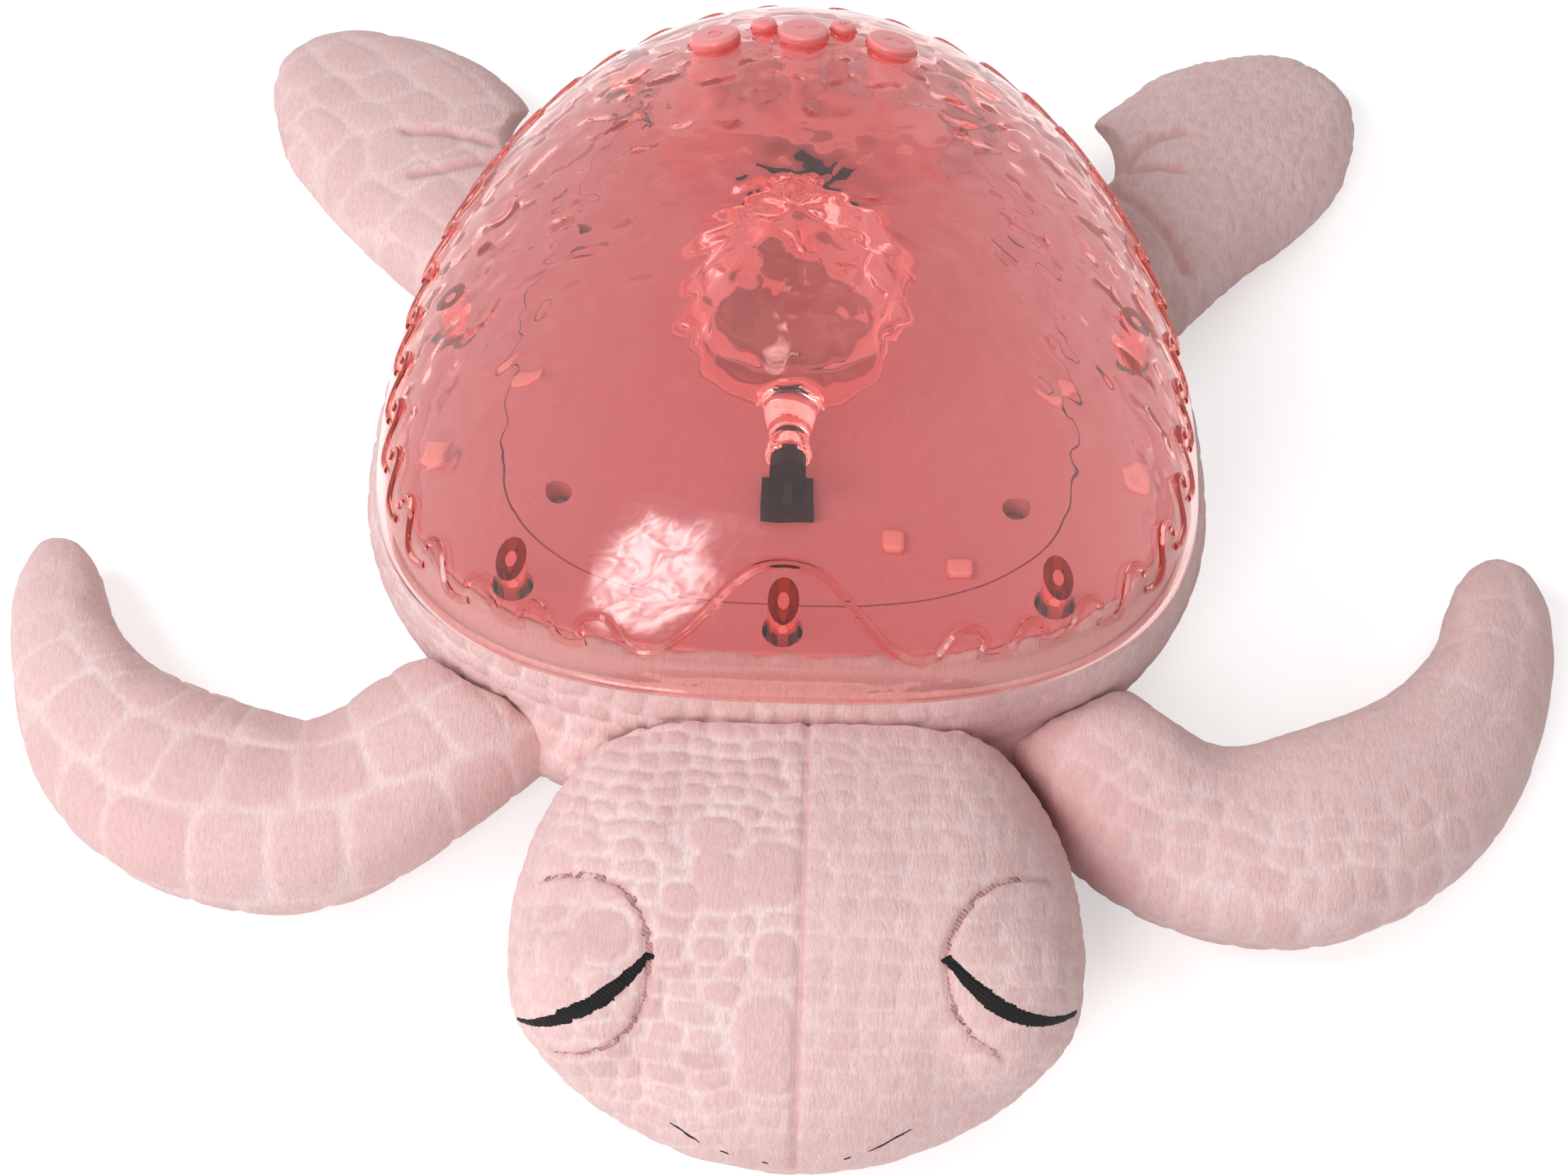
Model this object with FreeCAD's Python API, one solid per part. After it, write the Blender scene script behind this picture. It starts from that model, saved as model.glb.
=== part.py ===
import FreeCAD, Part
import math
import os
from FreeCAD import Matrix, Vector

# Night light projector: a stuffed sleeping turtle that carries a clear hard shell over a rocking
# ripple lens. Millimetres. The head points to -Y, +Z is up, and z = 0 is the surface it lies on.

# Rim of the shell, an egg seen from above: blunt at the head end and long at the tail end
rim_half_width = 104.5
rim_front = 77.0
rim_rear = 154.0
rim_centre_y = -1.5
rim_z = 59.0
front_power = 2.65
rear_power = 2.0

# Dome
dome_rise = 63.5
dome_power = 0.66
dome_apex_y = 27.0
dome_shares = [1.0, 0.985, 0.95, 0.88, 0.77, 0.62, 0.44, 0.24, 0.08]
shell_wall = 2.2

# Screw bosses moulded inside the dome, right side and centre
boss_places = [(0.0, -64.0), (66.0, -53.0), (86.0, 25.0), (47.0, 111.0)]
boss_radius = 3.8
boss_foot_z = 62.0
boss_roof = 3.2
screw_radius = 1.25
screw_head_radius = 2.8
screw_head_height = 2.0
screw_grip = 9.5
screw_seat_wall = 6.0

# Deck, the pink tray under the dome, and the oval cover let into it
deck_inset = 7.2
deck_top_z = 69.5
deck_wall = 2.2
deck_tongue = 2.0
deck_hole_radius = 5.0
ledge_reach = 3.0
ledge_thick = 1.8
seam_gap = 0.25
cover_egg = (72.0, 53.0, 135.5, -3.5)
cover_screw_places = [(57.0, 63.0), (57.0, -24.0)]
cover_pit_radius = 3.4
cover_pit_depth = 8.0
cover_pit_floor = 1.6
tab_places = [(66.5, 13.0, 9.0, 5.0), (-66.5, 13.0, 9.0, 5.0), (88.0, -14.0, 6.0, 8.0),
              (-88.0, -14.0, 6.0, 8.0), (26.5, -36.5, 5.0, 6.0), (43.0, -44.0, 6.0, 5.0)]
tab_height = 1.6
edge_round = 1.2

# Lower housing, a tub inside the stuffed body
tub_wall = 2.2
tub_bottom_z = 5.0
tub_levels = [(0.0, 13.0), (12.0, 5.5), (30.0, 1.2), (57.0, 0.0)]
tower_radius = 5.2
rib_thick = 1.6
rib_height = 14.0

# Batteries and their bay
battery_radius = 7.25
battery_length = 50.5
battery_gap = 0.5
battery_count = 3
bay_centre_y = -9.0
bay_end_room = 4.2
bay_wall = 1.6
bay_clearance = 0.3
contact_thick = 0.6
contact_half = 5.0
door_thick = 2.0
door_gap = 0.3
door_ear = 9.0
door_ear_half = 11.0
door_screw_radius = 1.1
door_screw_head = 2.2
door_screw_length = 8.0

# Speaker
speaker_y = 72.0
speaker_radius = 20.0
speaker_height = 17.0
speaker_rim = 2.4
magnet_radius = 11.0
magnet_height = 7.0
cone_thick = 0.8
grille_hole = 1.5
grille_pitch = 6.0

# Light: reflector bowl, lamp board, lamp and heat sink
light_y = 35.0
reflector_radius = 21.3
reflector_wall = 1.3
reflector_depth = 17.5
reflector_throat = 4.0
reflector_foot = 7.5
reflector_flange = 2.6
lamp_board_radius = 10.0
lamp_board_thick = 1.6
lamp_half = 2.5
lamp_height = 1.4
lamp_dome = 2.2
sink_half = 10.0
sink_base = 2.0
sink_fin = 1.2
sink_fins = 5
sink_depth = 7.0

# Ripple lens: a domed dish that rocks about an axis along Y
axle_z = 80.0
dish_y = 32.0
dish_radius = 30.2
dish_half_length = 34.5
dish_rise = 31.0
dish_wall = 2.0
dish_drop = 3.5
ripple_height = 0.55
ripple_count = 4
neck_front_y = -18.7
neck_mouth = 6.2
neck_waist = 4.9
neck_waist_y = -12.5
neck_root = 9.2
neck_root_y = 4.5
pin_radius = 2.0
pin_tip_y = -11.5
running_gap = 0.05
journal_radius = 2.5
stub_radius = 3.6
end_gap = 0.3

# Lens brackets, front and rear
front_bracket = (-23.0, -19.0)
front_foot = (-31.0, 6.5)
rear_bracket = (70.0, 74.0)
rear_foot = (66.0, 12.0)
bracket_half = 4.6
rear_bracket_spread = 15.0
foot_thick = 2.6
front_screws = [(3.8, -27.0), (-3.8, -27.0)]
rear_screws = [(9.0, 70.2), (-9.0, 70.2)]
small_screw_radius = 0.95
small_screw_head = 1.9
small_screw_head_height = 1.3
small_screw_bite = 2.0

# Rocker arm and crank drive
arm_y = (76.0, 79.5)
arm_half = 3.5
hub_radius = 4.0
crescent_radius = 30.0
crescent_thick = 2.5
crescent_half = 12.5
crescent_top = 2.0
crank_z = 46.0
crank_throw = 7.0
crank_pin_radius = 1.4
slot_gap = 0.15
slot_margin = 0.6
gear_y = (83.0, 86.0)
gear_module = 0.6
crank_teeth = 40
idler_teeth = 30
pinion_teeth = 12
gear_backlash = 0.16
pressure_angle = 20.0
axle_radius = 1.5
shaft_radius = 1.0
frame_y = (88.0, 90.0)
frame_margin = 5.0
frame_flange = 2.0
frame_foot_z = 31.0
motor_half = 6.0
gearbox_length = 9.0
motor_length = 16.0

# Buttons: three large and two small, on a pedestal behind the lens
big_button_places = {"left": (-23.3, 102.3), "centre": (0.0, 102.6), "right": (23.3, 102.3)}
small_button_places = {"left": (-10.5, 108.4), "right": (10.5, 108.4)}
big_button = (6.65, 7.6, 3.4)
small_button = (3.4, 4.3, 2.1)
button_proud = 2.6
button_round = 1.1
button_hole_gap = 0.3
button_travel = 1.0
button_flange = 1.2
flange_gap = 0.5
guide_wall = 1.4
pedestal_front_y = 88.0
pedestal_half = 38.0
pedestal_inset = 4.0
pedestal_height = 12.5
pedestal_wall = 1.8
board_thick = 1.6
control_board_z = 71.5
control_board_front_y = 97.0
control_board_inset = 7.0
switch_half = 3.0
switch_height = 3.5
plunger_radius = 1.7
plunger_height = 1.4
press_margin = 0.05

# Main board over the battery bay
main_board = (-38.0, 38.0, -38.0, 18.0)
main_board_z = 29.0
post_radius = 3.0
post_inset = 3.5

# Stuffed body: height, how far each level stands inside the rim, and its own front bluntness
body_levels = [(-0.5, 27.0, 2.3), (5.0, 13.8, 2.2), (18.0, 1.5, 2.1), (34.0, -3.5, 2.1),
               (49.0, -3.0, 2.25), (58.7, 1.5, 2.6)]
soft_gap = 0.3
hem_inset = 3.5
hem_top_z = 63.5
belly_opening_margin = 3.0

# Head, from the neck to the nose: y, half width, top, bottom
head_x = 6.0
head_stations = [(-58.0, 40.0, 50.0, 8.0), (-77.0, 54.0, 56.0, 3.5), (-95.5, 64.2, 61.5, 0.0),
                 (-114.0, 69.0, 64.0, -0.5), (-133.5, 70.6, 62.5, -0.5),
                 (-149.0, 67.8, 57.5, -0.5), (-161.3, 59.0, 50.5, -0.2),
                 (-170.6, 45.0, 42.5, 1.5), (-177.3, 28.5, 35.0, 5.0), (-181.2, 11.0, 28.0, 11.0)]
eye_place = (44.0, -143.0, 35.0)
eye_radii = (25.0, 26.0, 21.0)

# Flippers, from the root to the tip: x, y, width, height, height of the middle
front_left_stations = [(63.5, -41.0, 38.0, 30.0, 29.0), (83.0, -70.5, 47.0, 38.0, 26.0),
                       (101.0, -83.7, 49.5, 38.0, 22.0), (117.5, -89.0, 54.0, 38.5, 18.75),
                       (137.0, -86.3, 57.0, 38.5, 18.75), (154.8, -77.9, 55.0, 37.0, 18.0),
                       (169.4, -65.0, 47.5, 34.0, 16.5), (180.3, -49.0, 37.5, 31.0, 15.0),
                       (187.8, -32.0, 29.5, 27.0, 13.5), (191.8, -16.0, 23.5, 22.0, 12.5),
                       (193.6, -5.5, 14.5, 15.0, 12.0), (194.2, -0.5, 6.0, 7.0, 12.0)]
front_right_stations = [(63.5, -47.0, 38.0, 30.0, 29.0), (81.5, -75.5, 47.0, 38.0, 26.0),
                        (98.8, -86.5, 52.0, 38.0, 22.0), (116.3, -88.6, 56.0, 38.5, 18.75),
                        (134.8, -85.0, 59.5, 38.5, 18.75), (151.2, -75.4, 57.0, 37.0, 18.0),
                        (166.2, -62.0, 50.0, 34.0, 16.5), (177.8, -45.5, 42.0, 31.0, 15.0),
                        (186.0, -27.5, 34.8, 27.0, 13.5), (190.0, -9.5, 28.5, 22.0, 12.5),
                        (190.6, 3.5, 18.5, 15.0, 12.0), (189.6, 8.8, 7.8, 7.0, 12.0)]
rear_left_stations = [(74.0, 70.0, 30.0, 26.0, 28.0), (87.0, 88.0, 38.0, 32.0, 25.0),
                      (95.0, 111.0, 60.5, 33.0, 21.0), (103.0, 131.5, 71.0, 32.0, 17.0),
                      (114.4, 150.0, 72.0, 30.0, 14.6), (127.4, 164.3, 63.0, 26.0, 12.6),
                      (138.2, 176.2, 46.5, 21.0, 11.0), (145.2, 183.6, 30.5, 15.5, 10.0),
                      (148.6, 187.4, 13.5, 8.0, 10.0)]
rear_right_stations = [(79.0, 68.0, 27.0, 26.0, 28.0), (94.5, 87.0, 35.0, 32.0, 25.0),
                       (100.0, 113.0, 63.0, 33.0, 21.0), (109.0, 133.8, 73.5, 32.0, 17.0),
                       (121.8, 150.6, 73.0, 30.0, 14.6), (133.3, 166.0, 67.5, 26.0, 12.6),
                       (143.3, 178.3, 52.0, 21.0, 11.0), (149.6, 187.2, 35.0, 15.5, 10.0),
                       (152.9, 191.6, 16.5, 8.0, 10.0)]

# Middle of the whole along Y; the finished pieces are moved so that it comes to y = 0
middle_y = 8.2

rim_egg = (rim_half_width, rim_front, rim_rear, rim_centre_y)
outline_points = 40
soft_outline_points = 32
tall = 200.0


def egg_reach(egg, angle, inset, blunt=front_power):
    half, front, rear, centre_y = egg
    c, s = math.cos(angle), math.sin(angle)
    length, power = (rear, rear_power) if s >= 0 else (front, blunt)
    across = (abs(c) / (half - inset)) ** power
    along = (abs(s) / (length - inset)) ** power
    return (across + along) ** (-1.0 / power)


def egg_points(egg, inset, z, count=outline_points, blunt=front_power):
    points = []
    for i in range(count):
        angle = 2 * math.pi * i / count
        reach = egg_reach(egg, angle, inset, blunt)
        points.append(Vector(reach * math.cos(angle), egg[3] + reach * math.sin(angle), z))
    return points


def smooth_wire(points):
    curve = Part.BSplineCurve()
    curve.interpolate(Points=points, PeriodicFlag=True)
    return Part.Wire([curve.toShape()])


def arc_wire(points):
    # arcs through each three points in a row, so that no arc turns half a circle
    edges = []
    count = len(points)
    for i in range(0, count, 2):
        a, b, c = points[i], points[i + 1], points[(i + 2) % count]
        edges.append(Part.Arc(a, b, c).toShape())
    return Part.Wire(edges)


def egg_prism(egg, inset, z0, z1):
    face = Part.Face(smooth_wire(egg_points(egg, inset, z0)))
    return face.extrude(Vector(0, 0, z1 - z0))


def rod(x, y, z0, z1, radius):
    return Part.makeCylinder(radius, z1 - z0, Vector(x, y, z0))


def rod_along_y(x, y0, y1, z, radius):
    return Part.makeCylinder(radius, y1 - y0, Vector(x, y0, z), Vector(0, 1, 0))


def block(x0, x1, y0, y1, z0, z1):
    return Part.makeBox(x1 - x0, y1 - y0, z1 - z0, Vector(x0, y0, z0))


def turned(profile, x, y):
    # profile: radius and height pairs, turned about an upright axis
    points = [Vector(r, 0, z) for r, z in profile]
    face = Part.Face(Part.makePolygon(points + [points[0]]))
    solid = face.revolve(Vector(0, 0, 0), Vector(0, 0, 1), 360)
    solid.translate(Vector(x, y, 0))
    return solid


def both_sides(places):
    found = []
    for x, y in places:
        found.append((x, y))
        if x:
            found.append((-x, y))
    return found


def joined(shapes):
    return shapes[0].fuse(shapes[1:]).removeSplitter()


def above_floor(shape):
    return shape.common(block(-tall * 2, tall * 2, -tall * 2, tall * 2, 0, tall))


# Dome

def dome_solid(inset):
    wires = []
    for share in dome_shares:
        z = rim_z + (dome_rise - inset) * (1 - share * share) ** dome_power
        points = []
        for p in egg_points(rim_egg, inset, z):
            points.append(Vector(share * p.x, dome_apex_y + share * (p.y - dome_apex_y), z))
        wires.append(smooth_wire(points))
    return Part.makeLoft(wires, True, False)


def dome_share(x, y):
    # the share of the rim's size at which the dome's level outline passes through the place
    low, high = 0.0001, 1.0
    for _ in range(40):
        middle = (low + high) / 2
        px = x / middle
        py = dome_apex_y + (y - dome_apex_y) / middle - rim_centre_y
        reach = egg_reach(rim_egg, math.atan2(py, px), 0.0)
        if math.hypot(px, py) > reach:
            low = middle
        else:
            high = middle
    return high


def dome_z(x, y):
    return rim_z + dome_rise * (1 - dome_share(x, y) ** 2) ** dome_power


def dome_normal(x, y, step=1.0):
    slope_x = (dome_z(x + step, y) - dome_z(x - step, y)) / (2 * step)
    slope_y = (dome_z(x, y + step) - dome_z(x, y - step)) / (2 * step)
    return Vector(-slope_x, -slope_y, 1).normalize()


def button_list():
    found = []
    for side, place in big_button_places.items():
        found.append(("big_button_" + side, place, big_button))
    for side, place in small_button_places.items():
        found.append(("small_button_" + side, place, small_button))
    return found


def make_shell():
    outer = dome_solid(0.0)
    wall = outer.cut(dome_solid(shell_wall))
    bosses = []
    for x, y in both_sides(boss_places):
        bosses.append(rod(x, y, boss_foot_z, tall, boss_radius).common(outer))
    shell = wall.fuse(bosses)
    for x, y in both_sides(boss_places):
        bore_top = dome_z(x, y) - boss_roof
        shell = shell.cut(rod(x, y, boss_foot_z, bore_top, screw_radius + running_gap))
    for name, (x, y), (radius, flange, stem) in button_list():
        shell = shell.cut(rod(x, y, rim_z, tall, radius + button_hole_gap))
    return shell.removeSplitter()


# Deck and cover

def make_deck():
    deck = egg_prism(rim_egg, deck_inset, boss_foot_z, deck_top_z)
    round_edges = [e for e in deck.Edges if e.BoundBox.ZMin > deck_top_z - 0.01]
    deck = deck.makeFillet(edge_round, round_edges)
    hollow_top = deck_top_z - deck_wall
    deck = deck.cut(egg_prism(rim_egg, deck_inset + tub_wall, boss_foot_z, hollow_top))
    tongue_inset = deck_inset + tub_wall + seam_gap
    tongue = egg_prism(rim_egg, tongue_inset, boss_foot_z - deck_tongue, hollow_top)
    deck = deck.fuse(tongue.cut(egg_prism(rim_egg, tongue_inset + deck_wall, 0, tall)))
    ledge = egg_prism(cover_egg, -ledge_reach, hollow_top - ledge_thick, hollow_top)
    deck = deck.fuse(ledge)
    deck = deck.cut(egg_prism(cover_egg, ledge_reach, 0, tall))
    deck = deck.cut(egg_prism(cover_egg, -seam_gap, hollow_top, tall))
    for x, y, length, width in tab_places:
        tab = block(x - length / 2, x + length / 2, y - width / 2, y + width / 2,
                    deck_top_z - deck_wall / 2, deck_top_z + tab_height)
        on_deck = abs(x) > cover_egg[0]
        if on_deck:
            deck = deck.fuse(tab)
    for x, y in both_sides(boss_places):
        deck = deck.cut(rod(x, y, 0, tall, deck_hole_radius))
        deck = deck.cut(rod(x, y, 0, boss_foot_z, tower_radius + seam_gap))
    for x, y in both_sides(cover_screw_places):
        deck = deck.cut(rod(x, y, 0, tall, tower_radius + seam_gap))
    return deck.removeSplitter()


def make_cover():
    under = deck_top_z - deck_wall
    cover = egg_prism(cover_egg, seam_gap, under, deck_top_z)
    for x, y, length, width in tab_places:
        if abs(x) <= cover_egg[0]:
            tab = block(x - length / 2, x + length / 2, y - width / 2, y + width / 2,
                        deck_top_z - deck_wall / 2, deck_top_z + tab_height)
            cover = cover.fuse(tab)
    for x, y in both_sides(cover_screw_places):
        pit_floor = deck_top_z - cover_pit_depth
        pit = rod(x, y, pit_floor - cover_pit_floor, deck_top_z, cover_pit_radius + cover_pit_floor)
        cover = cover.fuse(pit)
        cover = cover.cut(rod(x, y, pit_floor, tall, cover_pit_radius))
        cover = cover.cut(rod(x, y, 0, tall, screw_radius + seam_gap))
    cover = cover.cut(rod(0, light_y, 0, tall, reflector_radius + seam_gap))
    cover = cover.cut(arm_window(under - tall / 4, tall))
    for x, y in front_screws + rear_screws:
        cover = cover.cut(rod(x, y, 0, tall, small_screw_radius + running_gap))
    return cover.removeSplitter()


def arm_window(z0, z1):
    swing = (axle_z - (deck_top_z - deck_wall - frame_flange)) * math.tan(math.radians(13.0))
    half = arm_half + swing + seam_gap
    return block(-half, half, arm_y[0] - 1.0, arm_y[1] + 1.0, z0, z1)


# Lower housing

def tub_solid(inset, floor):
    wires = []
    for height, draw in tub_levels:
        level = tub_bottom_z + max(height, floor)
        wires.append(smooth_wire(egg_points(rim_egg, deck_inset + draw + inset, level)))
    return Part.makeLoft(wires, True, False)


def bay_box(margin):
    half_x = battery_length / 2 + bay_end_room + margin
    half_y = battery_count * battery_radius + (battery_count - 1) * battery_gap / 2
    half_y += bay_clearance + margin
    return half_x, bay_centre_y - half_y, bay_centre_y + half_y


def battery_z():
    return tub_bottom_z + door_thick + bay_clearance + battery_radius


def door_screw_y():
    return bay_box(0)[2] + door_ear / 2 + 1.0


def door_shape(gap, z0, z1):
    half_x, y0, y1 = bay_box(0)
    plate = block(-half_x - 1 - gap, half_x + 1 + gap, y0 - 1 - gap, y1 + 1 + gap, z0, z1)
    ear = block(-door_ear_half - gap, door_ear_half + gap, y1, y1 + 1 + door_ear + gap, z0, z1)
    return joined([plate, ear])


def make_tub():
    top = tub_bottom_z + tub_levels[-1][0]
    floor_top = tub_bottom_z + tub_wall
    hollow = tub_solid(tub_wall, tub_wall)
    tub = tub_solid(0.0, 0.0).cut(hollow)
    inside = tub_solid(tub_wall / 2, 0.0)
    adds = []
    for x, y in both_sides(boss_places):
        adds.append(rod(x, y, tub_bottom_z, top, tower_radius).common(inside))
    post_top = deck_top_z - cover_pit_depth - cover_pit_floor
    for x, y in both_sides(cover_screw_places):
        adds.append(rod(x, y, floor_top - 1, post_top, tower_radius - 1).common(inside))
    bay_half_x, bay_y0, bay_y1 = bay_box(bay_wall)
    bay_roof = battery_z() + battery_radius + bay_clearance + bay_wall
    adds.append(block(-bay_half_x, bay_half_x, bay_y0, bay_y1, tub_bottom_z, bay_roof))
    boss_top = tub_bottom_z + door_thick + door_screw_length
    adds.append(rod(0, door_screw_y(), tub_bottom_z, boss_top, door_screw_radius + 2.4))
    for x, y in post_places():
        adds.append(rod(x, y, floor_top - 1, main_board_z, post_radius))
    for y in (speaker_y - speaker_radius - 4, speaker_y + speaker_radius + 4):
        rib = block(-tall, tall, y - rib_thick / 2, y + rib_thick / 2, floor_top - 1,
                    floor_top + rib_height)
        adds.append(rib.common(inside))
    tub = tub.fuse(adds)
    half_x, y0, y1 = bay_box(0)
    roof = battery_z() + battery_radius + bay_clearance
    tub = tub.cut(block(-half_x, half_x, y0, y1, 0, roof))
    tub = tub.cut(door_shape(door_gap, 0, tub_bottom_z + door_thick))
    tub = tub.cut(rod(0, door_screw_y(), 0, boss_top, door_screw_radius + running_gap))
    head_seat = boss_foot_z - screw_seat_wall
    for x, y in both_sides(boss_places):
        tub = tub.cut(rod(x, y, 0, head_seat, screw_head_radius + seam_gap))
        tub = tub.cut(rod(x, y, 0, tall, screw_radius + seam_gap))
    for x, y in both_sides(cover_screw_places):
        tub = tub.cut(rod(x, y, post_top - screw_grip, tall, screw_radius + running_gap))
    for x, y in grille_places():
        tub = tub.cut(rod(x, y, 0, floor_top + 0.5, grille_hole))
    return tub.removeSplitter()


def post_places():
    x0, x1, y0, y1 = main_board
    return [(x, y) for x in (x0 + post_inset, x1 - post_inset)
            for y in (y0 + post_inset, y1 - post_inset)]


def grille_places():
    places = []
    for row in range(-2, 3):
        for column in range(-2, 3):
            x = grille_pitch * (column + row / 2)
            y = grille_pitch * row * math.sqrt(3) / 2
            if math.hypot(x, y) < 2.2 * grille_pitch:
                places.append((x, speaker_y + y))
    return places


def make_door():
    door = door_shape(0.0, tub_bottom_z, tub_bottom_z + door_thick)
    y = door_screw_y()
    return door.cut(rod(0, y, 0, tall, door_screw_radius + seam_gap))


def make_door_screw():
    y = door_screw_y()
    head = rod(0, y, tub_bottom_z - 1.4, tub_bottom_z, door_screw_head)
    shank = rod(0, y, tub_bottom_z, tub_bottom_z + door_thick + door_screw_length - 1,
                door_screw_radius)
    return joined([head, shank])


def battery_rows():
    pitch = 2 * battery_radius + battery_gap
    first = bay_centre_y - pitch * (battery_count - 1) / 2
    return [first + pitch * i for i in range(battery_count)]


def make_batteries():
    cells = []
    for i, y in enumerate(battery_rows()):
        turn = 1 if i % 2 == 0 else -1
        half = battery_length / 2
        can = Part.makeCylinder(battery_radius, battery_length - 1.5,
                                Vector(-turn * half, y, battery_z()), Vector(turn, 0, 0))
        nub = Part.makeCylinder(2.75, 1.5, Vector(turn * (half - 1.5), y, battery_z()),
                                Vector(turn, 0, 0))
        cells.append(joined([can, nub]))
    return Part.makeCompound(cells)


def make_contacts():
    parts = []
    half_x = bay_box(0)[0]
    z = battery_z()
    for i, y in enumerate(battery_rows()):
        turn = 1 if i % 2 == 0 else -1
        for side in (-1, 1):
            x0, x1 = sorted((side * half_x, side * (half_x - contact_thick)))
            plate = block(x0, x1, y - contact_half, y + contact_half, z - contact_half,
                          z + contact_half)
            length = half_x - contact_thick - battery_length / 2
            wide, narrow = (3.6, 2.2) if side == -turn else (2.4, 1.8)
            bump = Part.makeCone(wide, narrow, length,
                                 Vector(side * (half_x - contact_thick), y, z),
                                 Vector(-side, 0, 0))
            parts.append(joined([plate, bump]))
    return Part.makeCompound(parts)


# Speaker

def speaker_floor():
    return tub_bottom_z + tub_wall


def make_speaker():
    z = speaker_floor()
    top = z + speaker_height
    neck = magnet_radius - 1.0
    profile = [(speaker_radius - 3.0, z), (speaker_radius, z), (speaker_radius, z + speaker_rim),
               (neck + 1.2, top - magnet_height), (magnet_radius, top - magnet_height),
               (magnet_radius, top), (0, top), (0, top - magnet_height - 1.2),
               (neck - 0.6, top - magnet_height - 1.2), (speaker_radius - 3.0, z + 1.4)]
    return turned(profile, 0, speaker_y)


def make_speaker_cone():
    z = speaker_floor()
    outer = speaker_radius - 3.0 - running_gap
    depth = speaker_height - magnet_height - 3.4
    profile = [(0, z + depth + 1.0 - cone_thick), (4.0, z + depth - cone_thick),
               (outer - 2.0, z + 0.2), (outer, z + 0.2), (outer, z + 0.2 + cone_thick),
               (outer - 2.4, z + 0.2 + cone_thick), (4.2, z + depth), (0, z + depth + 1.0)]
    return turned(profile, 0, speaker_y)


# Light

def make_reflector():
    top = deck_top_z
    under = top - deck_wall
    foot = top - reflector_depth
    steps = 8
    inner = []
    outer = []
    for i in range(steps + 1):
        share = i / steps
        angle = math.radians(90 * share)
        r = reflector_throat + (reflector_radius - reflector_wall - reflector_throat) * math.sin(angle)
        z = foot + reflector_wall + (reflector_depth - reflector_wall) * (1 - math.cos(angle))
        inner.append((r, z))
        outer.append((r + reflector_wall, z - reflector_wall * math.cos(angle)))
    outer = [(r, z) for r, z in outer if foot + 1.0 < z < under - 1.2]
    profile = inner + [(reflector_radius, top), (reflector_radius, under),
                       (reflector_radius + reflector_flange, under),
                       (reflector_radius + reflector_flange, under - 1.2)]
    profile += list(reversed(outer)) + [(reflector_foot, foot), (reflector_throat, foot)]
    return turned(profile, 0, light_y)


def make_lamp_board():
    top = deck_top_z - reflector_depth
    return rod(0, light_y, top - lamp_board_thick, top, lamp_board_radius)


def make_lamp():
    foot = deck_top_z - reflector_depth
    body = block(-lamp_half, lamp_half, light_y - lamp_half, light_y + lamp_half, foot,
                 foot + lamp_height)
    dome = Part.makeSphere(lamp_dome, Vector(0, light_y, foot + lamp_height))
    upper = dome.common(rod(0, light_y, foot + lamp_height / 2, tall, lamp_dome))
    return joined([body, upper])


def make_heat_sink():
    top = deck_top_z - reflector_depth - lamp_board_thick
    sink = block(-sink_half, sink_half, light_y - sink_half, light_y + sink_half,
                 top - sink_base, top)
    pitch = (2 * sink_half - sink_fin) / (sink_fins - 1)
    fins = []
    for i in range(sink_fins):
        x = -sink_half + i * pitch
        fins.append(block(x, x + sink_fin, light_y - sink_half, light_y + sink_half,
                          top - sink_depth, top))
    return joined([sink] + fins)


# Ripple lens and what carries it

def dish_solid(half, rise, ripple):
    # half of the dish's section, from the crown out to the edge, turned about the upright axis
    low = axle_z - dish_drop
    steps = 6 * ripple_count
    points = []
    for i in range(steps + 1):
        turn = math.pi / 2 * i / steps
        fade = min(1.0, 4 * (1 - i / steps))
        wave = ripple * fade * math.cos(2 * math.pi * ripple_count * i / steps)
        reach = 1 + wave / half
        points.append(Vector(half * reach * math.sin(turn), 0, low + rise * reach * math.cos(turn)))
    curve = Part.BSplineCurve()
    curve.interpolate(Points=points)
    foot = Vector(0, 0, low)
    profile = Part.Wire([curve.toShape(), Part.makeLine(points[-1], foot),
                         Part.makeLine(foot, points[0])])
    dish = Part.Face(profile).revolve(Vector(0, 0, 0), Vector(0, 0, 1), 360)
    stretch = Matrix()
    stretch.scale(1, (dish_half_length - dish_radius + half) / half, 1)
    dish = dish.transformGeometry(stretch)
    dish.translate(Vector(0, dish_y, 0))
    return dish


def make_lens():
    ahead = Vector(0, 1, 0)
    mouth = Part.makeCone(neck_mouth, neck_waist, neck_waist_y - neck_front_y,
                          Vector(0, neck_front_y, axle_z), ahead)
    neck = Part.makeCone(neck_waist, neck_root, neck_root_y - neck_waist_y,
                         Vector(0, neck_waist_y, axle_z), ahead)
    rear_y = dish_y + dish_half_length
    stub = rod_along_y(0, rear_y - 4, rear_bracket[0] - end_gap, axle_z, stub_radius)
    journal = rod_along_y(0, rear_y, arm_y[1], axle_z, journal_radius)
    lens = dish_solid(dish_radius, dish_rise, ripple_height).fuse([mouth, neck, stub, journal])
    lens = lens.cut(dish_solid(dish_radius - dish_wall, dish_rise - dish_wall, 0.0))
    bore = pin_radius + running_gap
    lens = lens.cut(rod_along_y(0, neck_front_y, pin_tip_y + end_gap, axle_z, bore))
    cup = Part.makeCone(neck_mouth - 1.0, bore, neck_waist_y - neck_front_y - 1.0,
                        Vector(0, neck_front_y, axle_z), ahead)
    return lens.cut(cup).removeSplitter()


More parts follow.
